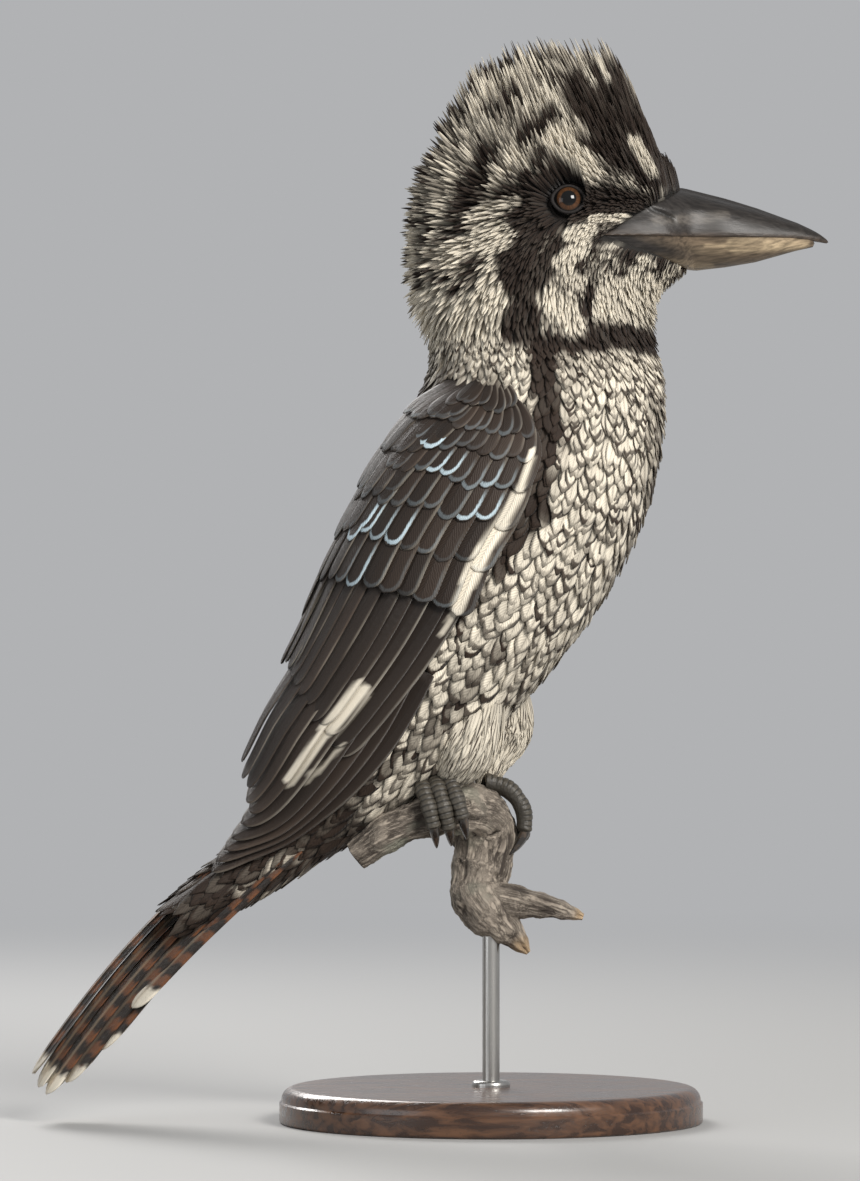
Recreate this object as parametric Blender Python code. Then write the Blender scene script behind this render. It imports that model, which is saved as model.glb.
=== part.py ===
"""Laughing kookaburra, life size, perched on a short cut branch over a round display base.

The bird looks along +X, its right side faces -Y, and the floor is Z = 0. The origin is the
centre of the base's underside. Shapes are worked out in millimetres and written in metres.
"""
import math

import bmesh
import bpy
import numpy as np

MM = 0.001
GAP = 0.3
FLAT = math.radians(0.3)
RIGHT, LEFT = -1, 1

# Plumage surface from over the tail to the bill tip, in the bird's middle plane:
# belly x, belly z, back x, back z, half width
STATIONS = np.array([
    (-92.0, 67.5, -105.0, 80.5, 16.0),   # over the tail feathers
    (-57.5, 88.4, -75.1, 107.8, 13.0),   # tail root
    (-25.8, 108.8, -64.9, 136.0, 26.0),  # vent and rump
    (6.5, 138.4, -53.4, 170.7, 36.0),    # belly
    (37.1, 175.8, -43.2, 206.4, 41.0),   # lower breast
    (54.7, 213.2, -31.6, 234.6, 41.5),   # breast
    (59.2, 245.5, -21.4, 255.0, 37.0),   # shoulders
    (55.8, 268.6, -20.7, 275.4, 30.0),   # neck
    (57.5, 280.2, -17.3, 298.2, 26.5),   # nape
    (61.5, 284.9, -7.1, 322.0, 25.0),    # back of the head
    (65.6, 288.0, 18.4, 334.9, 23.0),    # crown
    (67.7, 289.3, 40.5, 334.0, 20.0),    # brow
    (68.7, 290.0, 55.8, 327.0, 16.5),    # forehead
    (69.7, 290.4, 66.6, 316.9, 13.4),    # bill root
    (79.7, 291.1, 79.0, 314.2, 11.4),
    (89.8, 292.4, 90.5, 310.9, 9.0),     # middle of the bill
    (103.4, 296.1, 104.1, 306.0, 4.8),
    (114.3, 298.6, 115.0, 300.6, 0.8),   # bill tip
])
SKEW = (0.12, 0.02)            # how far the widest part lies towards the back, on the body and the head
FULLNESS = (0.9, 1.05)         # power of the cross section's roundness, on the body and the bill
MIDDLE = (STATIONS[:, 0:2] + STATIONS[:, 2:4]) / 2
STEPS = np.linalg.norm(np.diff(MIDDLE, axis=0), axis=1)
KNOTS = np.concatenate([[0.0], np.cumsum(STEPS)]) - STEPS[0]
CROWN, BROW, BILL_ROOT, BILL_TIP = KNOTS[10], KNOTS[11], KNOTS[13], KNOTS[17]

# Where the plumage is parted along the spine, in mm from the tail root
NECK_BASE = 188.0
HEAD_BASE = 209.0

# The mouth: gape, culmen root and chin in the side view, x and z
GAPE = (36.9, 300.4)
CULMEN_ROOT = (67.3, 317.8)
CHIN = (70.4, 289.4)
MOUTH_Z = 300.4
NOSTRIL = (57.5, 308.0)
BILL_START = 228.0             # along the spine, inside the head
BILL_NARROWING = ((36.0, 70.0, 95.0), (0.87, 0.95, 1.0))   # share of the plumage's width at each x
PAST_BILL = 140.0              # x beyond the bill's tip, for cutters
CUT_DEPTH = 60.0               # half depth of a cutter across the bird

EYE_X, EYE_Z = 25.8, 311.8
EYE_RADIUS = 6.0
EYE_DEPTH = 3.6                # centre of the eye under the plumage surface
LID_RING = 5.5                 # radius of the lids' ring
LID_RADIUS = 1.1
LID_STAND = 0.3                # the ring's middle above the plumage surface
LID_SIDES = 12

BRANCH = np.array([  # x, y, z, radius, from the cut end to the broken tip
    (-45.9, -9.0, 90.8, 4.6),
    (-33.7, -11.0, 99.5, 6.2),
    (-18.7, -11.0, 105.4, 7.5),
    (-8.5, -4.0, 106.8, 8.6),
    (-1.7, 7.0, 102.0, 9.4),
    (-2.7, 8.0, 88.4, 9.8),
    (-4.4, 5.0, 77.9, 9.4),
    (1.1, 1.0, 69.7, 8.0),
    (7.2, 0.0, 63.6, 4.6),
    (12.6, -1.0, 57.5, 0.9),
])
SPUR = np.array([  # the upper broken prong
    (-2.0, 2.0, 75.5, 6.5),
    (9.9, 1.0, 74.5, 5.4),
    (19.4, 0.0, 73.0, 3.9),
    (26.2, -1.0, 71.4, 2.6),
    (31.3, -1.0, 69.7, 0.8),
])

BASE_RADIUS = 72.0
BASE_HEIGHT = 12.0
BASE_SIDES = 56
ROD_RADIUS = 3.0

TOE_RADIUS = 3.1
TOE_RINGS = 6
TOE_SIDES = 7


# Numbers and points

def smooth(knots, values, at):
    """Smooth curve through the values at the knots, straight beyond both ends."""
    knots = np.asarray(knots, float)
    values = np.asarray(values, float)
    at = np.asarray(at, float)
    slopes = np.gradient(values, knots, axis=0)
    held = np.clip(at, knots[0], knots[-1])
    i = np.clip(np.searchsorted(knots, held, side="right") - 1, 0, len(knots) - 2)
    span = knots[i + 1] - knots[i]
    t = (held - knots[i]) / span
    if values.ndim > 1:
        span, t = span[..., None], t[..., None]
        beyond = (at - held)[..., None]
    else:
        beyond = at - held
    curve = (
        (2 * t**3 - 3 * t**2 + 1) * values[i]
        + (t**3 - 2 * t**2 + t) * span * slopes[i]
        + (3 * t**2 - 2 * t**3) * values[i + 1]
        + (t**3 - t**2) * span * slopes[i + 1]
    )
    return curve + beyond * slopes[np.where(at < knots[0], 0, -1)]


def unit(vectors):
    """The vectors made one long."""
    return vectors / np.maximum(np.linalg.norm(vectors, axis=-1, keepdims=True), 1e-9)


def signed_power(value, power):
    return np.sign(value) * np.abs(value) ** power


def plumage(s, angle):
    """Point of the plumage s mm from the tail root, at an angle from the back down the right side."""
    s, angle = np.broadcast_arrays(np.asarray(s, float), np.asarray(angle, float))
    shape = smooth(KNOTS, STATIONS, s)
    belly, back, half = shape[..., 0:2], shape[..., 2:4], shape[..., 4]
    head = np.clip((s - NECK_BASE) / (CROWN - NECK_BASE), 0.0, 1.0)
    bill = np.clip((s - BROW) / (BILL_ROOT - BROW), 0.0, 1.0)
    skew = SKEW[0] + (SKEW[1] - SKEW[0]) * head
    fullness = FULLNESS[0] + (FULLNESS[1] - FULLNESS[0]) * bill
    along = signed_power(np.cos(angle), fullness)
    across = signed_power(np.sin(angle), fullness) * (1 + skew * np.cos(angle))
    side = (belly + back) / 2 + (back - belly) / 2 * along[..., None]
    return np.stack([side[..., 0], -half * across, side[..., 1]], axis=-1)


def outward(s, angle):
    """Unit normal of the plumage surface."""
    step = 0.02
    along = plumage(np.asarray(s) + 20 * step, angle) - plumage(np.asarray(s) - 20 * step, angle)
    round_it = plumage(s, np.asarray(angle) + step) - plumage(s, np.asarray(angle) - step)
    normal = unit(np.cross(along, round_it))
    shape = smooth(KNOTS, STATIONS, np.broadcast_arrays(np.asarray(s, float), np.asarray(angle, float))[0])
    middle = (shape[..., 0:2] + shape[..., 2:4]) / 2
    point = plumage(s, angle)
    out = np.stack([point[..., 0] - middle[..., 0], point[..., 1], point[..., 2] - middle[..., 1]], axis=-1)
    return normal * np.sign(np.sum(normal * out, axis=-1, keepdims=True))


def lifted(s, angle, lift):
    """Point that stands lift mm off the plumage surface."""
    return plumage(s, angle) + outward(s, angle) * np.asarray(lift, float)[..., None]


def on_side(x, z):
    """(s, angle) of the point of the right side that is at x, z in the side view."""
    s, angle = np.meshgrid(np.linspace(0, BILL_TIP, 325), np.linspace(0.1, math.pi - 0.1, 90), indexing="ij")
    found = plumage(s, angle)
    miss = (found[..., 0] - x) ** 2 + (found[..., 2] - z) ** 2
    best = np.unravel_index(np.argmin(miss), miss.shape)
    return float(s[best]), float(angle[best])


# Meshes

def paint(name, colour, roughness):
    """A plain material."""
    material = bpy.data.materials.new(name)
    material.use_nodes = True
    shader = material.node_tree.nodes["Principled BSDF"]
    shader.inputs["Base Color"].default_value = (*colour, 1.0)
    shader.inputs["Roughness"].default_value = roughness
    return material


def make(name, points, faces, material=None):
    """An object from points in mm and faces."""
    mesh = bpy.data.meshes.new(name)
    mesh.from_pydata((np.asarray(points, float) * MM).tolist(), [], [list(face) for face in faces])
    mesh.validate()
    if material:
        mesh.materials.append(material)
    solid = bpy.data.objects.new(name, mesh)
    bpy.context.scene.collection.objects.link(solid)
    face_out(solid)
    return solid


def face_out(solid):
    """Turns a closed mesh's faces outwards."""
    shell = bmesh.new()
    shell.from_mesh(solid.data)
    bmesh.ops.recalc_face_normals(shell, faces=shell.faces)
    if shell.calc_volume(signed=True) < 0:
        bmesh.ops.reverse_faces(shell, faces=shell.faces)
    shell.to_mesh(solid.data)
    shell.free()


def ring_faces(rings, around):
    """Quads between rings of points, with a fan to a middle point at each end."""
    faces = []
    for i in range(rings - 1):
        for j in range(around):
            k = (j + 1) % around
            faces.append((i * around + j, i * around + k, (i + 1) * around + k, (i + 1) * around + j))
    first, last = rings * around, rings * around + 1
    for j in range(around):
        k = (j + 1) % around
        faces.append((k, j, first))
        faces.append(((rings - 1) * around + j, (rings - 1) * around + k, last))
    return faces


def loft(name, rings, material=None):
    """A closed solid through rings of points, shaped (rings, points, 3)."""
    rings = np.asarray(rings, float)
    points = np.concatenate([rings.reshape(-1, 3), rings[:1].mean(axis=1), rings[-1:].mean(axis=1)])
    return make(name, points, ring_faces(*rings.shape[:2]), material)


def tube(name, path, radius, around, material=None, squash=1.0):
    """A closed tube of varying radius along a path, its rings kept upright with no twist."""
    path = np.asarray(path, float)
    tangent = unit(np.gradient(path, axis=0))
    side = np.zeros_like(path)
    reference = np.array([0.0, 1.0, 0.0]) if abs(tangent[0][1]) < 0.8 else np.array([1.0, 0.0, 0.0])
    for i, direction in enumerate(tangent):
        reference = unit(reference - direction * np.dot(reference, direction))
        side[i] = reference
    up = np.cross(tangent, side)
    turn = np.arange(around) * 2 * math.pi / around
    radius = np.broadcast_to(np.asarray(radius, float), len(path))[:, None, None]
    rings = path[:, None] + radius * (
        side[:, None] * np.cos(turn)[None, :, None] + squash * up[:, None] * np.sin(turn)[None, :, None]
    )
    return loft(name, rings, material)


def prism(name, outline, half_depth):
    """A closed block: an outline of x, z points carried from -half_depth to half_depth in y."""
    count = len(outline)
    points = [(x, y, z) for y in (-half_depth, half_depth) for x, z in outline]
    faces = [tuple(range(count)), tuple(range(2 * count - 1, count - 1, -1))]
    faces += [(i, (i + 1) % count, (i + 1) % count + count, i + count) for i in range(count)]
    return make(name, points, faces)


def ball(name, centre, radius, around=16, rings=9, material=None):
    """A sphere with its poles along y."""
    rise = np.linspace(0, math.pi, rings + 1)[1:-1]
    turn = np.arange(around) * 2 * math.pi / around
    points = np.stack([
        centre[0] + radius * np.sin(rise)[:, None] * np.cos(turn),
        centre[1] - radius * np.cos(rise)[:, None] * np.ones(around),
        centre[2] + radius * np.sin(rise)[:, None] * np.sin(turn),
    ], axis=-1)
    return loft(name, points, material)


def vane_faces(stations):
    """Triangles of a vane, cut alike on both faces: six points a station, three on top."""
    faces = []
    for i in range(stations - 1):
        a, b = 6 * i, 6 * i + 6
        for near, far in ((0, 1), (1, 2), (5, 4), (4, 3), (2, 3), (5, 0)):
            faces += [(a + near, a + far, b + far), (a + near, b + far, b + near)]
    for a in (0, 6 * stations - 6):
        faces += [(a, a + 1, a + 4), (a, a + 4, a + 5), (a + 1, a + 2, a + 3), (a + 1, a + 3, a + 4)]
    return faces


def vane(path, normal, left, right, thick):
    """A closed feather along a path, with a width to the left and right of it as its normal points up."""
    tangent = unit(np.gradient(path, axis=0))
    normal = unit(normal - tangent * np.sum(normal * tangent, axis=1, keepdims=True))
    side = np.cross(tangent, normal)
    half = normal * (thick / 2)[:, None]
    left, right = path - side * left[:, None], path + side * right[:, None]
    stations = np.stack([left + half * 0.7, path + half, right + half * 0.7,
                         right - half * 0.7, path - half, left - half * 0.7], axis=1)
    return make("vane", stations.reshape(-1, 3), vane_faces(len(path)))


def rolled(path, normal, roll):
    """Normals turned about the path by roll radians."""
    tangent = unit(np.gradient(path, axis=0))
    return normal * math.cos(roll) + np.cross(tangent, normal) * math.sin(roll)


def lock(path, normal, width, thick):
    """A closed tuft of four sides that ends in a point."""
    tangent = unit(np.gradient(path, axis=0))
    normal = unit(normal - tangent * np.sum(normal * tangent, axis=1, keepdims=True))
    side = np.cross(tangent, normal)
    across, up = side * width[:, None] / 2, normal * thick[:, None] / 2
    rings = np.stack([path - across, path + up, path + across, path - up], axis=1)[:-1]
    points = np.concatenate([rings.reshape(-1, 3), path[-1:]])
    count = 4 * len(rings)
    faces = [(0, 1, 2), (0, 2, 3)]
    for i in range(0, count - 4, 4):
        for j in range(4):
            k = (j + 1) % 4
            faces += [(i + j, i + k, i + 4 + k), (i + j, i + 4 + k, i + 4 + j)]
    faces += [(count - 4 + j, count - 4 + (j + 1) % 4, count) for j in range(4)]
    return make("lock", points, faces)


# Joining and cutting

def boolean(solid, tools, operation, solver="EXACT"):
    """Joins the tools to the solid, or cuts them from it, and removes them."""
    group = bpy.data.collections.new("tools")
    bpy.context.scene.collection.children.link(group)
    for tool in tools:
        bpy.context.scene.collection.objects.unlink(tool)
        group.objects.link(tool)
    modifier = solid.modifiers.new("join", "BOOLEAN")
    modifier.operation = operation
    modifier.operand_type = "COLLECTION"
    modifier.collection = group
    modifier.solver = solver
    graph = bpy.context.evaluated_depsgraph_get()
    joined = bpy.data.meshes.new_from_object(solid.evaluated_get(graph))
    solid.modifiers.clear()
    solid.data = joined
    for tool in tools:
        bpy.data.objects.remove(tool)
    bpy.data.collections.remove(group)
    keep_largest(solid)


def keep_largest(solid):
    """Keeps a solid's largest closed surface."""
    shell = bmesh.new()
    shell.from_mesh(solid.data)
    bmesh.ops.remove_doubles(shell, verts=shell.verts, dist=1e-7)
    bmesh.ops.dissolve_degenerate(shell, edges=shell.edges, dist=1e-7)
    bmesh.ops.dissolve_limit(shell, angle_limit=FLAT, verts=shell.verts, edges=shell.edges)
    bmesh.ops.triangulate(shell, faces=shell.faces)
    shell.faces.ensure_lookup_table()
    left = set(shell.faces)
    bodies = []
    while left:
        seed = left.pop()
        body, front = [seed], [seed]
        while front:
            for edge in front.pop().edges:
                for face in edge.link_faces:
                    if face in left:
                        left.discard(face)
                        body.append(face)
                        front.append(face)
        volume = 0.0
        for face in body:
            a, b, c = (loop.vert.co for loop in face.loops)
            volume += a.dot(b.cross(c)) / 6
        bodies.append((volume, body))
    bodies.sort(key=lambda pair: -pair[0])
    drop = [face for _, body in bodies[1:] for face in body]
    bmesh.ops.delete(shell, geom=drop, context="FACES")
    shell.to_mesh(solid.data)
    shell.free()


def mirrored(solid, name, material):
    """The same solid on the other side of the middle plane."""
    copy = solid.copy()
    copy.data = solid.data.copy()
    copy.name = name
    bpy.context.scene.collection.objects.link(copy)
    points = np.empty(len(copy.data.vertices) * 3)
    copy.data.vertices.foreach_get("co", points)
    points = points.reshape(-1, 3) * (1, -1, 1)
    copy.data.vertices.foreach_set("co", points.ravel())
    copy.data.flip_normals()
    copy.data.materials.clear()
    copy.data.materials.append(material)
    return copy


def spine_rings(start, end, rings, around, lift=0.0, open_start=0.0):
    """Rings of the plumage surface from start to end, the first moved along the spine by open_start."""
    s = np.linspace(start, end, rings)[:, None]
    angle = (np.arange(around) * 2 * math.pi / around)[None, :]
    points = lifted(s, angle, lift + 0 * angle)
    ring = plumage(start, angle[0])
    forward = unit(np.cross(ring[0] - ring[around // 2], (0.0, -1.0, 0.0)))
    points[0] += forward * open_start
    return points


# Body

def make_torso(material):
    return loft("torso", spine_rings(0.0, NECK_BASE, 20, 28), material)


def make_neck(material):
    return loft("neck", spine_rings(NECK_BASE, HEAD_BASE, 3, 28, open_start=GAP), material)


def body_space():
    """Cutter for whatever lies against the torso."""
    return loft("body_space", spine_rings(0.0, NECK_BASE, 20, 28, lift=GAP))


CREST = np.array([  # root s and where the feather's tip stands, x and z, in the middle plane
    (207.0, -28.4, 283.5),
    (214.0, -30.3, 298.2),
    (222.0, -29.6, 311.8),
    (229.0, -24.8, 328.8),
    (234.0, -15.0, 344.1),
    (240.0, -5.1, 359.0),
    (246.0, 5.1, 365.5),
    (253.0, 17.0, 367.5),
    (259.0, 29.2, 367.2),
    (265.0, 41.1, 363.8),
    (269.0, 49.3, 346.5),
    (272.5, 54.1, 331.8),
    (275.5, 60.9, 326.4),
])
CREST_FILLED = 0.5             # share of the crest's height that is dense
CREST_FADE = 12.0              # length over which the dense part rises from the neck
CREST_BEND = 0.10              # how far a lock's middle bows forward, as a share of its length
LOCK_WIDTH = (10.0, 0.2)       # mm, and a share of the lock's length
LOCK_THICK = (3.6, 0.13)
CREST_ROWS = np.linspace(209.5, 272.5, 10)
CREST_COLUMNS = ((0.0, 0.55, 1.1), (0.28, 0.83))


def crest_tangent(s, angle):
    return unit(plumage(np.asarray(s) + 0.5, angle) - plumage(np.asarray(s) - 0.5, angle))


def crest_point(s, angle, k):
    """Point a share k of the way from the crown to the tips of the raised crest."""
    s, angle, k = np.broadcast_arrays(np.asarray(s, float), np.asarray(angle, float), np.asarray(k, float))
    roots = CREST[:, 0]
    rise = np.stack([CREST[:, 1], 0 * roots, CREST[:, 2]], axis=1) - plumage(roots, 0.0)
    out = np.sum(rise * outward(roots, 0.0 * roots), axis=1)
    back = np.sum(rise * crest_tangent(roots, 0.0), axis=1)
    spread = np.clip(np.cos(angle), 0.0, 1.0) ** 0.7
    ends = np.clip((278.0 - s) / 3.0, 0.0, 1.0)
    out = smooth(roots, out, np.clip(s, roots[0], roots[-1])) * spread * ends * k
    back = smooth(roots, back, np.clip(s, roots[0], roots[-1])) * spread * ends * k
    lean = unit(0.5 * outward(s, angle) + 0.5 * outward(s, 0.0 * angle))
    return plumage(s, angle) + lean * out[..., None] + crest_tangent(s, angle) * back[..., None]


def crest_filled(s):
    """Share of the crest's height that is dense, without single locks, from the neck on."""
    return CREST_FILLED * np.clip((s - HEAD_BASE) / CREST_FADE, 0.0, 1.0)


def crest_locks():
    """Rows of raised crest feathers from the nape to the forehead."""
    locks = []
    for row, root in enumerate(CREST_ROWS):
        start = crest_filled(root) - 0.16
        for column in CREST_COLUMNS[row % 2]:
            for turn in {column, -column}:
                ragged = 0.95 + 0.05 * math.sin(37.0 * root + 11.0 * turn)
                path = crest_point(root, turn, np.array([start, 0.5 + 0.5 * start, 1.0]) * ragged)
                path[0] -= outward(root, turn)
                length = float(np.linalg.norm(path[-1] - plumage(root, turn)))
                path[1] += crest_tangent(root, turn) * CREST_BEND * length
                normal = np.repeat(-crest_tangent(root, turn)[None], 3, axis=0)
                width = LOCK_WIDTH[0] + LOCK_WIDTH[1] * length
                thick = LOCK_THICK[0] + LOCK_THICK[1] * length
                taper, thinning = np.array([0.8, 1.0, 0.0]), np.array([0.7, 1.0, 0.0])
                locks.append(lock(path, normal, width * taper, thick * thinning))
    return locks


def make_head(material):
    s = np.linspace(HEAD_BASE, BILL_ROOT + 2.0, 13)[:, None]
    angle = (np.arange(24) * 2 * math.pi / 24)[None, :]
    points = crest_point(s, angle, crest_filled(s))
    points[0] = spine_rings(HEAD_BASE, BILL_ROOT, 2, 24, open_start=GAP)[0]
    head = loft("head", points, material)
    boolean(head, crest_locks() + [lid(side) for side in (RIGHT, LEFT)], "UNION")
    beyond = ((PAST_BILL, 359.4), (PAST_BILL, 260.0))
    notch = prism("notch", (GAPE, CULMEN_ROOT, *beyond, CHIN), CUT_DEPTH)
    neck_rings = spine_rings(NECK_BASE, HEAD_BASE, 3, 28, lift=GAP)
    neck_rings[-1] += unit(neck_rings[-1].mean(axis=0) - neck_rings[-2].mean(axis=0)) * GAP
    neck_space = loft("neck_space", neck_rings)
    boolean(head, [notch, neck_space], "DIFFERENCE")
    return head


def lid(side):
    """The ring of bare lids round an eye."""
    centre = eye_centre(side)
    s, angle = on_side(EYE_X, EYE_Z)
    normal = outward(s, angle) * (1, -side, 1)
    forward = unit(np.cross(normal, (0.0, 0.0, 1.0)))
    up = np.cross(forward, normal)
    middle = centre + normal * (EYE_DEPTH + LID_STAND)
    turn = np.arange(LID_SIDES) * 2 * math.pi / LID_SIDES
    spokes = np.cos(turn)[:, None] * forward + 0.94 * np.sin(turn)[:, None] * up
    tilt = np.arange(4) * 2 * math.pi / 4
    points = (
        middle + spokes[:, None] * (LID_RING + LID_RADIUS * np.cos(tilt))[None, :, None]
        + normal * (LID_RADIUS * np.sin(tilt))[None, :, None]
    )
    faces = []
    for i in range(LID_SIDES):
        for j in range(4):
            k, m = (i + 1) % LID_SIDES, (j + 1) % 4
            faces.append((4 * i + j, 4 * i + m, 4 * k + m, 4 * k + j))
    return make("lid", points.reshape(-1, 3), faces)


def inset(point, line_a, line_b, by):
    """The point moved to the right of the line from a to b by that many mm."""
    dx, dz = line_b[0] - line_a[0], line_b[1] - line_a[1]
    length = math.hypot(dx, dz)
    return (point[0] + dz / length * by, point[1] - dx / length * by)


def make_bill(horn, bone):
    """Upper and lower mandible, parted from the head and from each other by thin cuts."""
    rings = spine_rings(BILL_START, BILL_TIP, 22, 24)
    rings[..., 1] *= np.interp(rings[..., 0], *BILL_NARROWING)
    upper = loft("bill_upper", rings, horn)
    lower = loft("bill_lower", rings, bone)
    upper_outline = (
        (GAPE[0] + 1.2, MOUTH_Z + 0.2), inset(CULMEN_ROOT, GAPE, CULMEN_ROOT, GAP),
        inset((PAST_BILL, 359.4), GAPE, CULMEN_ROOT, GAP), (PAST_BILL, 290.0),
        (115.0, 298.6), (111.0, 299.8), (102.0, MOUTH_Z + 0.2),
    )
    lower_outline = (
        (GAPE[0] + 1.6, MOUTH_Z - 0.2), (101.0, MOUTH_Z - 0.2), (108.0, 299.5), (109.4, 298.6),
        inset((109.4, 276.6), CHIN, GAPE, GAP), inset(CHIN, CHIN, GAPE, GAP),
    )
    boolean(upper, [prism("upper_space", upper_outline, CUT_DEPTH)], "INTERSECT")
    boolean(lower, [prism("lower_space", lower_outline, CUT_DEPTH)], "INTERSECT")
    boolean(upper, [nostril(side) for side in (RIGHT, LEFT)], "DIFFERENCE")


def nostril(side):
    """A slit low on the bill's side, just ahead of the feathers."""
    middle = np.array(NOSTRIL)
    s, angle = on_side(*NOSTRIL)
    depth = abs(plumage(s, angle)[1]) * np.interp(NOSTRIL[0], *BILL_NARROWING)
    t = np.linspace(-1, 1, 7)
    path = np.stack([middle[0] + 4.0 * t, side * (depth + 0.2 - 0.9 * t), middle[1] - 1.6 * t], axis=1)
    return tube("nostril", path, 0.9 * np.sqrt(np.clip(1.02 - t**2, 0.1, 1)), 6)


def eye_centre(side):
    s, angle = on_side(EYE_X, EYE_Z)
    return np.array([EYE_X, side * (abs(plumage(s, angle)[1]) - EYE_DEPTH), EYE_Z])


def make_eyes(head, material):
    for side, name in ((RIGHT, "eye_right"), (LEFT, "eye_left")):
        centre = eye_centre(side)
        boolean(head, [ball("socket", centre, EYE_RADIUS + GAP)], "DIFFERENCE")
        ball(name, centre, EYE_RADIUS, material=material)


# Wings

WING = np.array([  # s, the wing's upper and lower edge in degrees, how far it stands off at each
    (-40.0, 25.0, 52.0, 7.0, 5.0),
    (-20.0, 15.0, 62.0, 9.5, 4.6),
    (0.0, 9.0, 84.0, 11.5, 4.2),
    (20.0, 6.0, 95.0, 13.0, 4.0),
    (40.0, 5.0, 98.0, 12.5, 4.0),
    (60.0, 6.0, 97.0, 11.0, 4.2),
    (87.0, 8.0, 94.0, 9.5, 4.5),
    (112.0, 12.0, 91.0, 7.0, 4.6),
    (140.0, 18.0, 92.0, 5.6, 4.2),
    (160.0, 27.0, 88.0, 4.0, 3.0),
    (172.0, 40.0, 74.0, 1.8, 1.8),
])
WING_CORE = (2.0, 171.0)
VANE = 0.7

# Tiers from the top: count, root s and tip s at the upper and lower edge, root and tip place
# between the upper edge 0 and the lower edge 1, width, stations, how far each tip lies below
# the one above it
WING_TIERS = (
    (4, (169, 167), (124, 130), (0.02, 0.50), (0.0, 0.55), 16.0, 3, 0.0),    # scapulars
    (4, (156, 154), (120, 121), (0.42, 0.95), (0.40, 0.96), 14.5, 3, 0.0),   # median coverts
    (5, (130, 126), (84, 92), (0.06, 0.95), (0.06, 0.95), 18.0, 3, 0.0),     # greater coverts
    (5, (102, 98), (50, 36), (0.06, 0.82), (0.06, 0.70), 17.0, 3, 0.0),      # tertials and secondaries
    (6, (76, 71), (12, -30), (0.36, 0.97), (0.12, 0.98), 11.5, 4, 0.85),     # primaries
)


def wing_angle(s, place):
    upper, lower = smooth(WING[:, 0], WING[:, 1], s), smooth(WING[:, 0], WING[:, 2], s)
    return np.radians(upper + (lower - upper) * place)


def wing_lift(s, place):
    """How far the folded wing's outer surface stands off the body."""
    upper, lower = smooth(WING[:, 0], WING[:, 3], s), smooth(WING[:, 0], WING[:, 4], s)
    belly = 2.2 * np.clip((172.0 - s) / 40.0, 0.0, 1.0) * np.sin(math.pi * place)
    return upper * (1 - place) + lower * place + belly


def wing_vane(root_s, tip_s, root_place, tip_place, width, stations, below):
    t = np.linspace(0, 1, stations)
    s = root_s + (tip_s - root_s) * t
    place = root_place + (tip_place - root_place) * t
    angle = wing_angle(s, place)
    path = lifted(s, angle, wing_lift(s, place) - 3.2 + 3.3 * t - below * t)
    normal = rolled(path, outward(s, angle), math.radians(-9.0))
    half = width / 2 * np.interp(t, (0, 0.5, 0.8, 1), (0.6, 1.0, 1.0, 0.4))
    return vane(path, normal, half, half, VANE * np.interp(t, (0, 0.8, 1), (1.0, 1.0, 0.7)))


def wing_vanes():
    vanes = []
    for count, root_s, tip_s, root_place, tip_place, width, stations, below in WING_TIERS:
        for i, v in enumerate(np.linspace(0, 1, count)):
            vanes.append(wing_vane(
                np.interp(v, (0, 1), root_s), np.interp(v, (0, 1), tip_s),
                np.interp(v, (0, 1), root_place), np.interp(v, (0, 1), tip_place),
                width, stations, below * (i - (count - 1) / 2),
            ))
    return vanes


def make_wing(material):
    s = np.linspace(*WING_CORE, 12)[:, None]
    outer_place, inner_place = np.linspace(0, 1, 6)[None, :], np.linspace(1, 0, 4)[None, :]
    end = np.clip((s - WING_CORE[0]) / 14.0, 0.0, 1.0)
    outer_lift = (wing_lift(s, outer_place) - 1.7) * (0.55 + 0.45 * end)
    outer = lifted(s, wing_angle(s, outer_place), np.maximum(outer_lift, 1.0))
    inner = lifted(s, wing_angle(s, inner_place), -1.5 + 0 * inner_place)
    wing = loft("wing_right", np.concatenate([outer, inner], axis=1), material)
    boolean(wing, wing_vanes(), "UNION")
    boolean(wing, [body_space(), middle_space()], "DIFFERENCE")
    mirrored(wing, "wing_left", material)


def middle_space():
    """Thin slab on the bird's middle plane that keeps the two wings apart."""
    return prism("middle_space", ((-140.0, 20.0), (80.0, 20.0), (80.0, 300.0), (-140.0, 300.0)), 0.4)


# Tail

TAIL_FEATHERS = np.array([  # root x, y, z, tip x, y, z, and arch, of one side's feathers from the middle out
    (-73.0, 0.9, 104.0, -155.6, 2.0, 16.4, 5.5),
    (-71.2, 2.6, 101.4, -153.0, 5.2, 11.4, 4.6),
    (-69.4, 4.3, 98.8, -148.6, 8.6, 11.0, 3.6),
    (-67.6, 6.0, 96.2, -136.0, 12.2, 22.6, 2.6),
    (-65.8, 7.7, 93.6, -122.0, 15.8, 40.4, 1.6),
])
TAIL_UP = unit(np.array([-0.75, 0.0, 0.66]))
TAIL_VANE = 0.8
TAIL_CORE = 34.0


def tail_feather(side, row, raised):
    root, tip = row[0:3] * (1, side, 1), row[3:6] * (1, side, 1)
    t = np.array([0.0, 0.4, 0.75, 1.0])
    arch = row[6] * np.sin(math.pi * t) + raised
    path = root + (tip - root) * t[:, None] + TAIL_UP * arch[:, None]
    tilt = math.radians(8.0 if abs(row[1]) < 1 else 24.0)
    normal = TAIL_UP * math.cos(tilt) + np.array([0.0, side, 0.0]) * math.sin(tilt)
    normal = np.repeat(normal[None], len(t), axis=0)
    outer = np.array([4.0, 7.0, 8.0, 3.0])
    inner = outer if abs(row[1]) < 1 else np.minimum(outer, (abs(path[:, 1]) - 0.5) / math.cos(tilt))
    left, right = (outer, inner) if side == LEFT else (inner, outer)
    return vane(path, normal, left, right, TAIL_VANE * np.array([1.0, 1.0, 1.0, 0.6]))


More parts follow.
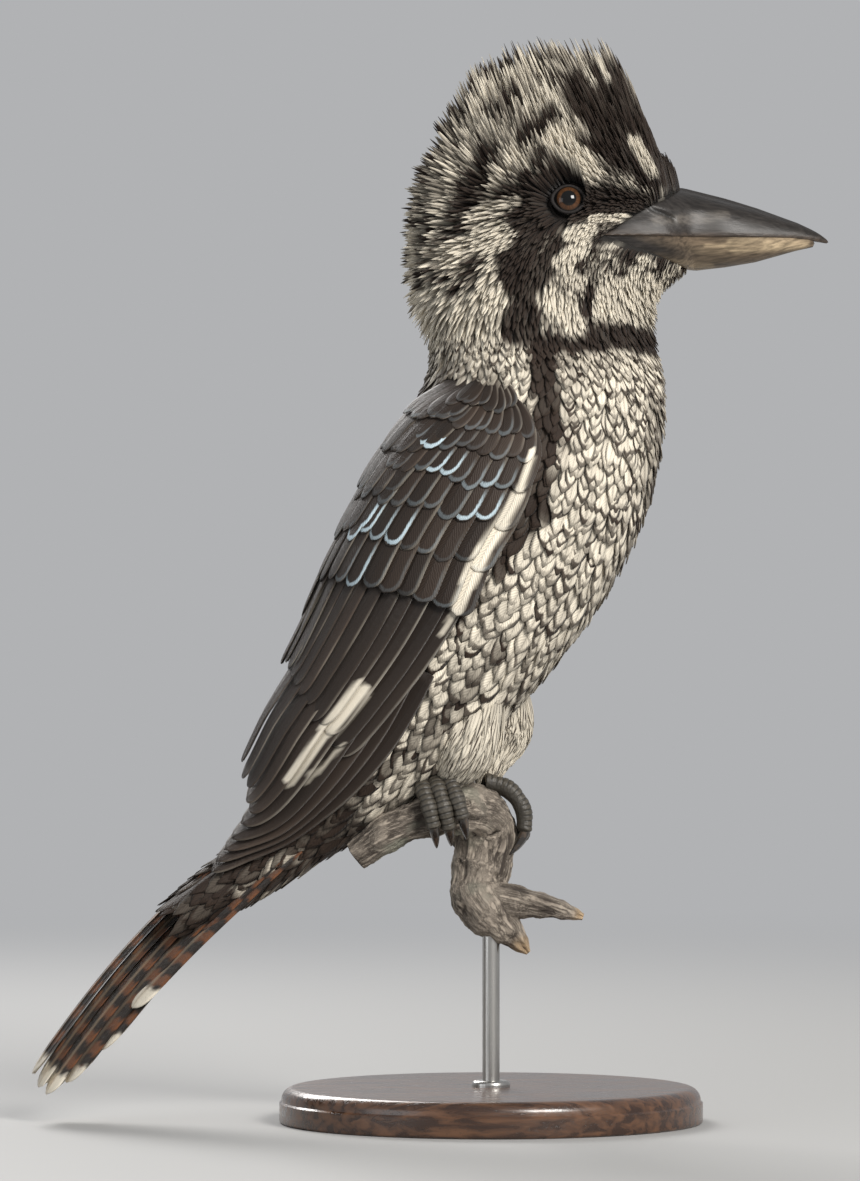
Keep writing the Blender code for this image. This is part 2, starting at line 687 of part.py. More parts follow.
def tail_covert(angle, length, rise):
    """A short feather over the tail's root; angles are counted from the back."""
    t = np.array([0.0, 0.55, 1.0])
    s = -4.0 - length * t
    path = lifted(s, angle + 0 * t, rise * (t - 0.3) - 1.5)
    half = np.array([4.0, 6.5, 2.0])
    return vane(path, outward(s, angle + 0 * t), half, half, VANE * np.array([1.0, 1.0, 0.7]))


def make_tail(material):
    s = np.linspace(0.0, -TAIL_CORE, 6)
    angle = np.arange(16) * 2 * math.pi / 16
    rings = plumage(s[:, None], angle[None, :])
    middle = rings.mean(axis=1, keepdims=True)
    rings = middle + (rings - middle) * np.interp(-s, (0, TAIL_CORE), (1.0, 0.78))[:, None, None]
    rings[0] -= unit(middle[0, 0] - middle[1, 0]) * GAP
    tail = loft("tail", rings, material)
    feathers = []
    for row in TAIL_FEATHERS:
        for side in (RIGHT, LEFT):
            feathers.append(tail_feather(side, row, 1.0 if side == RIGHT and row[1] < 1 else 0.0))
    feathers += [tail_covert(turn, 40.0, 4.0) for turn in (0.45, -0.45, 1.4, -1.4)]
    feathers += [tail_covert(math.pi + turn, 46.0, 4.0) for turn in (0.5, -0.5)]
    boolean(tail, feathers, "UNION")


# Legs, feet and claws

LEGS = {
    RIGHT: dict(name="right", hip=(0.0, -14.0, 150.0), knee=(-8.0, -15.5, 129.0), ankle=(-14.6, -11.5, 115.8)),
    LEFT: dict(name="left", hip=(7.0, 13.0, 153.0), knee=(3.0, 14.5, 133.0), ankle=(-0.5, 9.5, 119.0)),
}
THIGH_RADII = (7.0, 10.5, 4.0)


def leg_path(side, t):
    leg = LEGS[side]
    return smooth((0.0, 0.5, 1.0), np.array([leg["hip"], leg["knee"], leg["ankle"]]), t)


def thigh_lock(side, turn):
    """A tuft of the feathered thigh that hangs past its lower end."""
    t = np.array([0.3, 0.75, 1.18])
    path = leg_path(side, t)
    along = unit(leg_path(side, 0.8) - leg_path(side, 0.6))
    across = unit(np.cross(along, (0.0, 1.0, 0.0)))
    spoke = across * math.cos(turn) + np.cross(along, across) * math.sin(turn)
    path = path + spoke * (smooth((0.0, 0.5, 1.0), THIGH_RADII, t) + np.array([-1.6, 0.2, 1.0]))[:, None]
    return lock(path, np.repeat(spoke[None], 3, axis=0), np.array([6.0, 6.5, 0.0]), np.array([2.0, 2.4, 0.0]))


def make_leg(side, material):
    t = np.linspace(0, 1, 6)
    radius = smooth((0.0, 0.5, 1.0), THIGH_RADII, t)
    thigh = tube("leg_" + LEGS[side]["name"], leg_path(side, t), radius, 12, material)
    boolean(thigh, [thigh_lock(side, turn) for turn in np.arange(6) * math.pi / 3 + 0.2], "UNION")
    boolean(thigh, [body_space(), branch_form("branch_space", GAP)] + foot_spaces(side), "DIFFERENCE")


def toe_paths(side):
    """Centre lines of the toes round the branch, the hind toe last."""
    paths = []
    if side == RIGHT:
        centre = np.array([-17.0, -10.5, 105.8])
        along = unit(np.array([1.0, 0.12, 0.25]))
        out = unit(np.array([0.12, -1.0, 0.0]))
        reach = 7.9 + TOE_RADIUS
        spread = ((-4.6, -4.8, 112), (0.0, 0.2, 122), (4.6, 5.4, 108), (0.0, -2.0, -100))
    else:
        centre = np.array([-1.6, 9.5, 102.0])
        along = np.array([0.0, 1.0, 0.0])
        out = np.array([1.0, 0.0, 0.0])
        reach = 10.2 + TOE_RADIUS
        spread = ((-4.8, -5.5, 106), (0.0, 0.0, 118), (4.8, 6.0, 104), (0.0, 0.0, -95))
    up = np.cross(along, out)
    up = up if up[2] > 0 else -up
    for start, end, turn in spread:
        t = np.linspace(0.0, 1.0, TOE_RINGS)
        angle = np.radians(turn) * t
        offset = start + (end - start) * t
        ring = np.cos(angle)[:, None] * up + np.sin(angle)[:, None] * out
        paths.append(centre + ring * reach + offset[:, None] * along)
    return paths


def toe_form(path, extra=0.0):
    if extra:
        path = np.concatenate([path, path[-1:] + unit(path[-1] - path[-2]) * extra])
    t = np.linspace(0, 1, len(path))
    return tube("toe", path, TOE_RADIUS * (1 + 0.08 * np.cos(6 * math.pi * t)) * (1 - 0.22 * t) + extra, TOE_SIDES)


def shank_form(side, name, extra=0.0, material=None):
    ankle = np.array(LEGS[side]["ankle"])
    top = toe_paths(side)[1][0]
    path = np.linspace(ankle + (0.0, 0.0, 3.0), top, 4)
    return tube(name, path, np.array([2.6, 2.8, 3.4, 3.9]) + extra, 10, material)


def foot_spaces(side):
    """Cutters for whatever lies against a foot."""
    return [shank_form(side, "shank_space", GAP)] + [toe_form(path, GAP) for path in toe_paths(side)]


def make_foot(side, torso, skin, horn):
    name = LEGS[side]["name"]
    paths = toe_paths(side)
    foot = shank_form(side, "foot_" + name, material=skin)
    boolean(foot, [toe_form(path) for path in paths], "UNION")
    boolean(foot, [branch_form("branch_space", GAP)], "DIFFERENCE")
    for i, path in enumerate(paths):
        make_claw("claw_%s_%d" % (name, i + 1), path, horn)
    boolean(torso, foot_spaces(side), "DIFFERENCE")


def make_claw(name, path, material):
    """A curved claw that goes on from the toe's end."""
    ahead = unit(path[-1] - path[-2])
    bend = unit(path[-1] - 2 * path[-2] + path[-3])
    t = np.linspace(0.0, 1.0, 4)[:, None]
    curve = path[-1] + ahead * 9.0 * t + bend * 3.0 * t**2 - bend * 0.4
    claw = tube(name, curve, 1.7 * (1 - t[:, 0]) ** 0.8 + 0.25, 6, material)
    boolean(claw, [branch_form("branch_space", GAP)], "DIFFERENCE")
    boolean(claw, [toe_form(path, GAP)], "DIFFERENCE")


# Branch and display base

def limb_form(name, points, rings, around, extra=0.0, material=None):
    t = np.linspace(0, len(points) - 1, rings)
    shape = smooth(np.arange(len(points)), points, t)
    knots = 1 + 0.05 * np.sin(t * 3.1) + 0.04 * np.sin(t * 7.3 + 1.0)
    return tube(name, shape[:, :3], shape[:, 3] * knots + extra, around, material)


def branch_form(name, extra=0.0, material=None):
    branch = limb_form(name, BRANCH, 25, 12, extra, material)
    boolean(branch, [limb_form("spur", SPUR, 9, 8, extra)], "UNION")
    return branch


def make_stand(wood, metal):
    base_profile = (
        (0.0, BASE_RADIUS),
        (8.0, BASE_RADIUS),
        (11.0, BASE_RADIUS - 2.0),
        (BASE_HEIGHT, BASE_RADIUS - 5.0),
    )
    turn = np.arange(BASE_SIDES) * 2 * math.pi / BASE_SIDES
    round_it = np.stack([np.cos(turn), np.sin(turn), 0 * turn], axis=-1)
    rings = [round_it * radius + (0.0, 0.0, height) for height, radius in base_profile]
    loft("stand_base", rings, wood)
    heights = np.linspace(BASE_HEIGHT + GAP, 66.0, 2)
    rod = tube("stand_rod", [(0.0, 0.0, z) for z in heights], ROD_RADIUS, 18, metal)
    boolean(rod, [branch_form("branch_space", GAP)], "DIFFERENCE")


def main():
    for old in list(bpy.data.objects):
        bpy.data.objects.remove(old)
    white = paint("white_plumage", (0.75, 0.70, 0.60), 0.9)
    brown = paint("brown_plumage", (0.10, 0.065, 0.045), 0.8)
    rufous = paint("tail_plumage", (0.24, 0.11, 0.05), 0.8)
    horn = paint("dark_horn", (0.02, 0.018, 0.016), 0.35)
    bone = paint("pale_horn", (0.45, 0.36, 0.24), 0.4)
    gloss = paint("eye", (0.03, 0.015, 0.008), 0.05)
    scales = paint("foot_skin", (0.20, 0.19, 0.15), 0.6)
    bark = paint("bark", (0.25, 0.20, 0.15), 0.9)
    wood = paint("base_wood", (0.08, 0.04, 0.02), 0.35)
    metal = paint("rod_metal", (0.5, 0.5, 0.5), 0.3)

    torso = make_torso(white)
    make_neck(white)
    head = make_head(white)
    make_bill(horn, bone)
    make_eyes(head, gloss)
    branch_form("perch_branch", material=bark)
    boolean(torso, [branch_form("branch_space", GAP)], "DIFFERENCE")
    make_tail(rufous)
    make_wing(brown)
    for side in (RIGHT, LEFT):
        make_leg(side, white)
        make_foot(side, torso, scales, horn)
    make_stand(wood, metal)


main()
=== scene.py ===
import math

import bpy
import numpy as np
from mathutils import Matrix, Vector


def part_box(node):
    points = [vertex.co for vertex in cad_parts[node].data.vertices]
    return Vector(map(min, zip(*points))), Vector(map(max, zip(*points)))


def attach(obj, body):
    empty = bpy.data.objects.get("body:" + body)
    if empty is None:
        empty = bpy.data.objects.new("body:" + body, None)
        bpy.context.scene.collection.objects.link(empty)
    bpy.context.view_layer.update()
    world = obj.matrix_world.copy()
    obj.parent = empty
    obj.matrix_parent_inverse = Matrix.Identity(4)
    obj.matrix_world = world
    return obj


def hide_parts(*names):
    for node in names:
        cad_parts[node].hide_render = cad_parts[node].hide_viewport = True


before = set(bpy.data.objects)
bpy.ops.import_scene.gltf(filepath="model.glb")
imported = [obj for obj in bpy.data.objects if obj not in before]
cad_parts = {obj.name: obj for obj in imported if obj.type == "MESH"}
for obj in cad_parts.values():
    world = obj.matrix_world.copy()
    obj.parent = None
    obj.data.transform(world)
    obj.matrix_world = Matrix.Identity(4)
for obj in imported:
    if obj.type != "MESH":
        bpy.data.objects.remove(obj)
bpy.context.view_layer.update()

# Camera, light and floor
# The drawing shows the bird's right side from its own height with no foreshortening, so a level camera with a
# long lens stands square to it. Lengths are in mm from the middle of the base's underside.
MM = 0.001
PIXEL = 0.34
PICTURE_MIDDLE = (430.0, 590.5)
PICTURE_HEIGHT = 1181
STAND_PX, FLOOR_PX = 491, 1122
LENS, SENSOR = 200.0, 36.0
FAR_CLIP = 200.0
LAMPS = (  # name, place, aim, width, watts and colour
    ("key", (700.0, -1100.0, 900.0), (-20.0, 0.0, 190.0), 500.0, 27.0, (1.0, 0.97, 0.93)),
    ("fill", (-1300.0, -900.0, 300.0), (-20.0, 0.0, 190.0), 900.0, 4.5, (0.94, 0.97, 1.0)),
    ("rim", (-500.0, 1100.0, 900.0), (-20.0, 0.0, 200.0), 600.0, 15.0, (1.0, 0.98, 0.96)),
)
SURROUNDINGS = (0.80, 0.81, 0.83)
SURROUND_LIGHT = 0.55
FLOOR_RADIUS = 40000.0
FLOOR_SIDES = 64
FLOOR_COLOUR = (0.36, 0.36, 0.355)
FLOOR_FADE = (0.3, 1.5)


def place(px, py):
    """X and Z of a picture point in mm: its pixels from the stand's axis and up from the floor line."""
    return (np.asarray(px, float) - STAND_PX) * PIXEL, (FLOOR_PX - np.asarray(py, float)) * PIXEL


def lamp(name, at, aim, size, watts, colour):
    """A square soft light at a point in mm, turned to face another."""
    light = bpy.data.lights.new(name, "AREA")
    light.size = size * MM
    light.energy = watts
    light.color = colour
    holder = bpy.data.objects.new(name, light)
    bpy.context.scene.collection.objects.link(holder)
    holder.location = Vector(at) * MM
    holder.rotation_euler = (Vector(aim) - Vector(at)).to_track_quat("-Z", "Y").to_euler()


view_x, view_z = place(*PICTURE_MIDDLE)
view_distance = PICTURE_HEIGHT * PIXEL / 2 * LENS / (SENSOR / 2)
camera = bpy.data.objects.new("camera", bpy.data.cameras.new("camera"))
camera.data.lens = LENS
camera.data.sensor_width = SENSOR
camera.data.clip_end = FAR_CLIP
camera.location = Vector((view_x, -view_distance, view_z)) * MM
camera.rotation_euler = (math.pi / 2, 0.0, 0.0)
bpy.context.scene.collection.objects.link(camera)
bpy.context.scene.camera = camera
bpy.context.scene.view_settings.view_transform = "Standard"

for settings in LAMPS:
    lamp(*settings)


def link(tree, made, socket, value):
    """Joins an output to a node's input, or sets the input to a plain value, a colour as an opaque one."""
    target = made.inputs[socket]
    if isinstance(value, bpy.types.NodeSocket):
        tree.links.new(value, target)
    else:
        target.default_value = (*value, 1.0) if target.type == "RGBA" else value


def node(tree, kind, inputs=None, **settings):
    """A shader node with its inputs joined or set; its settings are the node's own properties."""
    made = tree.nodes.new("ShaderNode" + kind)
    for name, value in settings.items():
        setattr(made, name, value)
    for socket, value in (inputs or {}).items():
        link(tree, made, socket, value)
    return made


def maths(tree, operation, first, second=0.0):
    """The result of one operation on two numbers in a material."""
    return node(tree, "Math", {0: first, 1: second}, operation=operation).outputs[0]


def faded(tree, value, low, high, start=0.0, end=1.0):
    """A value that goes smoothly from start to end as another goes from low to high."""
    ends = {"From Min": low, "From Max": high, "To Min": start, "To Max": end}
    return node(tree, "MapRange", {"Value": value, **ends}, interpolation_type="SMOOTHSTEP").outputs["Result"]


def mixed(tree, share, first, second, blend="MIX"):
    """Two colours mixed by a share from 0 to 1."""
    made = node(tree, "Mix", data_type="RGBA", blend_type=blend)
    link(tree, made, 0, share)
    link(tree, made, 6, first)
    link(tree, made, 7, second)
    return made.outputs[2]


def finish_of(name, roughness=0.5, **settings):
    """A material: its node tree and its principled shader, with constant sockets set by their names."""
    material = bpy.data.materials.new(name)
    material.use_nodes = True
    shader = material.node_tree.nodes["Principled BSDF"]
    shader.inputs["Roughness"].default_value = roughness
    for socket, value in settings.items():
        shader.inputs[socket.replace("_", " ").title().replace("Ior", "IOR")].default_value = value
    return material, material.node_tree, shader


def on_object(tree):
    """A point's own place on the piece, in metres."""
    return node(tree, "TexCoord").outputs["Object"]


def round_turn(count):
    """Angles evenly round a circle, in radians."""
    return np.arange(count) * 2 * math.pi / count


world = bpy.data.worlds.new("surroundings")
world.use_nodes = True
link(world.node_tree, world.node_tree.nodes["Background"], "Color", SURROUNDINGS)
link(world.node_tree, world.node_tree.nodes["Background"], "Strength", SURROUND_LIGHT)
bpy.context.scene.world = world

floor_finish, tree, shader = finish_of("floor_finish", 0.7)
link(tree, shader, "Base Color", FLOOR_COLOUR)
distance = node(tree, "VectorMath", {0: on_object(tree)}, operation="LENGTH").outputs["Value"]
glow = node(tree, "Emission", {"Color": SURROUNDINGS, "Strength": SURROUND_LIGHT})
far = faded(tree, distance, *FLOOR_FADE)
blend = node(tree, "MixShader", {0: far, 1: shader.outputs[0], 2: glow.outputs[0]})
link(tree, tree.nodes["Material Output"], "Surface", blend.outputs[0])
floor_turn = round_turn(FLOOR_SIDES)
floor_rim = np.stack([np.cos(floor_turn), np.sin(floor_turn), 0 * floor_turn], axis=1) * FLOOR_RADIUS * MM
floor_mesh = bpy.data.meshes.new("floor")
floor_mesh.from_pydata(floor_rim.tolist(), [], [tuple(range(FLOOR_SIDES))])
floor_mesh.materials.append(floor_finish)
floor = bpy.data.objects.new("floor", floor_mesh)
bpy.context.scene.collection.objects.link(floor)


# Display base
# A round foot of dark stained hardwood stands flat on the floor. It is turned on a lathe, with a small step
# under its rounded shoulder, then stained and varnished; its grain runs the way the bird faces.
BASE_INSET = 3.0
BASE_EDGE = 1.0
BASE_RIM = (5.0, 6.8)
BASE_STEP, BASE_STEP_HEIGHT = 0.7, 7.4
BASE_SHOULDER = 4.3
BASE_TOP = 12.0
ROD_HOLE = 3.0
WOOD_DARK = (0.030, 0.013, 0.007)
WOOD_LIGHT = (0.115, 0.052, 0.024)
WOOD_STRETCH = (14.0, 110.0, 110.0)
WOOD_GLOSS = (0.24, 0.42)


def unit(vectors):
    """The vectors made one long."""
    return vectors / np.maximum(np.linalg.norm(vectors, axis=-1, keepdims=True), 1e-9)


def square_to(vectors, axis):
    """The vectors less their share along an axis, made one long."""
    return unit(vectors - axis * np.sum(vectors * axis, axis=-1, keepdims=True))


def band_faces(count, around):
    """Faces between rings of points, numbered ring by ring: each four neighbours make one."""
    i, j = np.meshgrid(np.arange(count - 1) * around, np.arange(around), indexing="ij")
    k = (j + 1) % around
    return np.stack([i + j, i + k, i + around + k, i + around + j], axis=-1).reshape(-1, 4)


def rings_shell(rings, **layers):
    """A closed surface through rings of points, shaped (rings, around, 3): faces between the rings, and a fan
    to the middle of the ring at each end. A layer holds values of the same points."""
    count, around = rings.shape[:2]
    j = np.arange(around)
    k = (j + 1) % around
    first, last = np.full(around, count * around), np.full(around, count * around + 1)
    fans = np.concatenate([np.stack([k, j, first], axis=1),
                           np.stack([(count - 1) * around + j, (count - 1) * around + k, last], axis=1)])

    def flat(values):
        """The values of the rings' points, then those of the two ends' middles."""
        values = np.asarray(values, float)
        return np.concatenate([values.reshape(count * around, -1), values[:1].mean(axis=1).reshape(1, -1),
                               values[-1:].mean(axis=1).reshape(1, -1)])

    layers = {name: flat(values) for name, values in layers.items()}
    return dict(points=flat(rings), quads=band_faces(count, around), fans=fans, layers=layers)


def joined(shells):
    """Several closed surfaces as one mesh's points and faces."""
    starts = np.cumsum([0] + [len(shell["points"]) for shell in shells])
    return dict(
        points=np.concatenate([shell["points"] for shell in shells]),
        quads=np.concatenate([shell["quads"] + start for shell, start in zip(shells, starts)]),
        fans=np.concatenate([shell["fans"] + start for shell, start in zip(shells, starts)]),
        layers={name: np.concatenate([shell["layers"][name] for shell in shells])
                for name in shells[0]["layers"]},
    )


def mirrored(shell):
    """The same surface on the bird's other side."""
    faces = {kind: shell[kind][:, ::-1] for kind in ("quads", "fans")}
    return dict(shell, points=shell["points"] * (1, -1, 1), **faces)


def put(name, shell, material, replaced=(), sharp=None):
    """The finished piece, in metres, with its faces out: the sum of the volumes under them has to be
    positive. A layer of two values becomes a UV map, of three a colour, and of one a number. The piece rides
    on the body, takes its finish from a slot, and stands for the solids that it replaces."""
    points, quads, fans = shell["points"], shell["quads"], shell["fans"]
    corners = np.concatenate([quads[:, :3], quads[:, [0, 2, 3]], fans])
    a, b, c = (points[corners[:, k]] - points.mean(axis=0) for k in range(3))
    if np.sum(a * np.cross(b, c)) < 0:
        quads, fans = quads[:, ::-1], fans[:, ::-1]
    mesh = bpy.data.meshes.new(name)
    loops = np.concatenate([quads.ravel(), fans.ravel()]).astype(np.int32)
    starts = np.concatenate([np.arange(len(quads)) * 4, len(quads) * 4 + np.arange(len(fans)) * 3])
    mesh.vertices.add(len(points))
    mesh.vertices.foreach_set("co", (points * MM).astype(np.float32).ravel())
    mesh.loops.add(len(loops))
    mesh.loops.foreach_set("vertex_index", loops)
    mesh.polygons.add(len(starts))
    mesh.polygons.foreach_set("loop_start", starts.astype(np.int32))
    mesh.update(calc_edges=True)
    for layer, values in shell["layers"].items():
        if values.shape[1] == 2:
            mesh.uv_layers.new(name=layer).data.foreach_set("uv", values[loops].astype(np.float32).ravel())
        elif values.shape[1] == 3:
            opaque = np.concatenate([values, np.ones((len(values), 1))], axis=1)
            mesh.attributes.new(layer, "FLOAT_COLOR", "POINT").data.foreach_set("color", opaque.ravel())
        else:
            mesh.attributes.new(layer, "FLOAT", "POINT").data.foreach_set("value", values.ravel())
    mesh.shade_smooth()
    if sharp:
        mesh.set_sharp_from_angle(angle=math.radians(sharp))
    mesh.materials.append(material)
    piece = bpy.data.objects.new(name, mesh)
    bpy.context.scene.collection.objects.link(piece)
    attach(piece, "root")
    if replaced:
        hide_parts(*replaced)
    return piece


def turned(profile, around):
    """Rings of a turned form: each profile point (radius, height) carried round the upright axis."""
    turn = round_turn(around)
    radius, height = np.asarray(profile, float).T[:, :, None]
    return np.stack([radius * np.cos(turn), radius * np.sin(turn), height + 0 * turn], axis=-1)


def arc(middle, radius, start, end, points):
    """Profile points (radius, height): the middle plus the radius, turned from start to end in degrees."""
    turn = np.radians(np.linspace(start, end, points))
    return [(middle[0] + radius * math.cos(at), middle[1] + radius * math.sin(at)) for at in turn]


def bumped(tree, shader, height, distance, strength):
    """Joins a height in mm to a shader as a bump."""
    bump = node(tree, "Bump", {"Height": height, "Distance": distance * MM, "Strength": strength})
    tree.links.new(bump.outputs[0], shader.inputs["Normal"])


def plus(tree, first, second):
    """The sum of two numbers in a material."""
    return maths(tree, "ADD", first, second)


def times(tree, first, second):
    """The product of two numbers in a material."""
    return maths(tree, "MULTIPLY", first, second)


def shaded(tree, tone, shade):
    """A colour times a number."""
    grey = node(tree, "CombineColor", {0: shade, 1: shade, 2: shade}).outputs[0]
    return mixed(tree, 1.0, tone, grey, "MULTIPLY")


def stretched(tree, scale, turn=(0.0, 0.0, 0.0)):
    """The place on the piece with each axis multiplied, so that a pattern is drawn out along the least."""
    return node(tree, "Mapping", {0: on_object(tree), "Scale": scale, "Rotation": turn}).outputs[0]


def noise(tree, at, scale, detail=2.0, roughness=0.5, distortion=0.0):
    """Cloudy noise from 0 to 1 at a place, with scale clouds to its unit."""
    return node(tree, "TexNoise", {"Vector": at, "Scale": scale, "Detail": detail, "Roughness": roughness,
                                   "Distortion": distortion}).outputs[0]


wood, tree, shader = finish_of("stained_wood", 0.32, coat_weight=0.35, coat_roughness=0.15)
along_grain = stretched(tree, WOOD_STRETCH)
grain = noise(tree, along_grain, 3.0, 8.0, distortion=0.6)
pores = faded(tree, noise(tree, along_grain, 26.0, 3.0), 0.56, 0.70, 1.0, 0.55)
stained = mixed(tree, faded(tree, grain, 0.35, 0.68), WOOD_DARK, WOOD_LIGHT)
link(tree, shader, "Base Color", shaded(tree, stained, pores))
link(tree, shader, "Roughness", faded(tree, grain, 0.3, 0.8, *WOOD_GLOSS))
bumped(tree, shader, plus(tree, grain, pores), 0.12, 0.5)

base_radius, base_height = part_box("stand_base")[1].x / MM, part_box("stand_base")[1].z / MM
base_profile = (
    [(base_radius - BASE_INSET, 0.0)] + arc((base_radius - BASE_EDGE, BASE_EDGE), BASE_EDGE, -90, 0, 5)
    + [(base_radius, height) for height in BASE_RIM] + [(base_radius - BASE_STEP, BASE_STEP_HEIGHT)]
    + arc((base_radius - BASE_STEP - BASE_SHOULDER, base_height - BASE_SHOULDER), BASE_SHOULDER, 12, 90, 9)
    + [(radius, base_height) for radius in (base_radius - BASE_TOP, base_radius / 2, ROD_HOLE)]
)
put("base", rings_shell(turned(base_profile, 128)), wood, ["stand_base"], sharp=40)


# Rod
# A drawn steel rod, brushed along its length, carries the branch. It is pressed through a small turned collar
# that is let into the base, and its upper end is sunk into the branch's underside.
METAL = np.array([0.50, 0.49, 0.47])
METAL_SHADE = 0.72
METAL_STRETCH = (900.0, 900.0, 25.0)
METAL_GLOSS = (0.24, 0.42)
ROD_SINKS = 4.0
COLLAR_RADIUS = 6.5
COLLAR_HEIGHT = 2.2
COLLAR_ROUND = 1.4
COLLAR_SUNK = 1.0
COLLAR_PLAY = 0.1

metal, tree, shader = finish_of("brushed_steel", 0.3, metallic=1.0)
streaks = noise(tree, stretched(tree, METAL_STRETCH), 2.0, 4.0)
link(tree, shader, "Base Color", mixed(tree, faded(tree, streaks, 0.3, 0.7), METAL, METAL_SHADE * METAL))
link(tree, shader, "Roughness", faded(tree, streaks, 0.3, 0.7, *METAL_GLOSS))
bumped(tree, shader, streaks, 0.05, 0.4)

rod_low, rod_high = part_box("stand_rod")
rod_radius = rod_high.x / MM
rod_profile = [(rod_radius, z) for z in np.linspace(rod_low.z / MM, rod_high.z / MM + ROD_SINKS, 12)]
put("rod", rings_shell(turned(rod_profile, 48)), metal, ["stand_rod"], sharp=40)
collar_hole, collar_low = rod_radius + COLLAR_PLAY, base_height - COLLAR_SUNK
collar_high = base_height + COLLAR_HEIGHT
collar_profile = (
    [(collar_hole, collar_low), (COLLAR_RADIUS, collar_low), (COLLAR_RADIUS, collar_high - COLLAR_ROUND)]
    + arc((COLLAR_RADIUS - COLLAR_ROUND, collar_high - COLLAR_ROUND), COLLAR_ROUND, 0, 90, 7)
    + [(collar_hole, collar_high)]
)
put("rod_collar", rings_shell(turned(collar_profile, 48)), metal, sharp=40)


# Branch
# A cut length of gnarled dead branch, with its bark worn and split. It rises to the feet, bends down steeply,
# and ends in two broken prongs, one splintered off the other.
BRANCH = np.array([  # x, y, z, radius, from the cut end to the broken tip
    (-45.9, -9.0, 90.8, 4.6),
    (-33.7, -11.0, 99.5, 6.2),
    (-18.7, -11.0, 105.4, 7.5),
    (-8.5, -4.0, 106.8, 8.6),
    (-1.7, 7.0, 102.0, 9.4),
    (-2.7, 8.0, 88.4, 9.8),
    (-4.4, 5.0, 77.9, 9.4),
    (1.1, 1.0, 69.7, 8.0),
    (7.2, 0.0, 63.6, 4.6),
    (12.6, -1.0, 57.5, 0.9),
])
SPUR = np.array([
    (-2.0, 2.0, 75.5, 6.5),
    (9.9, 1.0, 74.5, 5.4),
    (19.4, 0.0, 73.0, 3.9),
    (26.2, -1.0, 71.4, 2.6),
    (31.3, -1.0, 69.7, 0.8),
])
BARK_RELIEF = 1.25
BARK_SUNK = 0.45
BARK_LUMPS, BARK_RIDGES, BARK_CRUMBS = 16.0, 7.0, 2.6
RIDGE_STRETCH, FIBRE_STRETCH = 0.16, 0.12
SLIM_LIMB = 7.0
SPLINTERS, SPLINTER_DEPTH = 5, 0.35
BARK_DARK = (0.045, 0.034, 0.026)
BARK_LIGHT = (0.34, 0.29, 0.235)
LICHEN = (0.30, 0.32, 0.25)
HEARTWOOD = (0.42, 0.30, 0.18)


def smooth(knots, values, at):
    """A smooth curve through the values at the knots: cubic pieces whose slopes at each knot are those of its
    neighbours, straight beyond both ends."""
    knots, values, at = np.asarray(knots, float), np.asarray(values, float), np.asarray(at, float)
    slopes = np.gradient(values, knots, axis=0)
    held = np.clip(at, knots[0], knots[-1])
    i = np.clip(np.searchsorted(knots, held, side="right") - 1, 0, len(knots) - 2)
    span = knots[i + 1] - knots[i]
    t = (held - knots[i]) / span
    beyond = at - held
    if values.ndim > 1:
        span, t, beyond = span[..., None], t[..., None], beyond[..., None]
    curve = ((2 * t**3 - 3 * t**2 + 1) * values[i] + (t**3 - 2 * t**2 + t) * span * slopes[i]
             + (3 * t**2 - 2 * t**3) * values[i + 1] + (t**3 - t**2) * span * slopes[i + 1])
    return curve + beyond * slopes[np.where(at < knots[0], 0, -1)]


def uneven(points, size, seed, octaves=4):
    """Smooth random numbers at points, from about -1 to 1: sine waves in random directions, size mm long, and
    in each further octave half as long and half as strong."""
    draw = np.random.default_rng(seed)
    total = np.zeros(points.shape[:-1])
    for octave in range(octaves):
        waves = draw.normal(size=(3, 8)) * 3.6 / size * 2**octave
        total += np.sin(points @ waves + draw.uniform(0, 2 * math.pi, 8)).sum(axis=-1) / 4 * 0.5**octave
    return total


def tube(path, radius, around, lean=(0.0, 1.0, 0.0)):
    """Rings round a path: each at right angles to it, its first point on the side that leans that way."""
    tangent = unit(np.gradient(path, axis=0))
    side = square_to(np.broadcast_to(lean, path.shape), tangent)
    up = np.cross(tangent, side)
    turn = round_turn(around)
    spokes = side[:, None] * np.cos(turn)[:, None] + up[:, None] * np.sin(turn)[:, None]
    return path[:, None] + spokes * np.broadcast_to(radius, (len(path),))[:, None, None], spokes


def length_along(path):
    """How far each point of a path lies from its start: the steps between points added up."""
    return np.concatenate([[0], np.cumsum(np.linalg.norm(np.diff(path, axis=0), axis=1))])


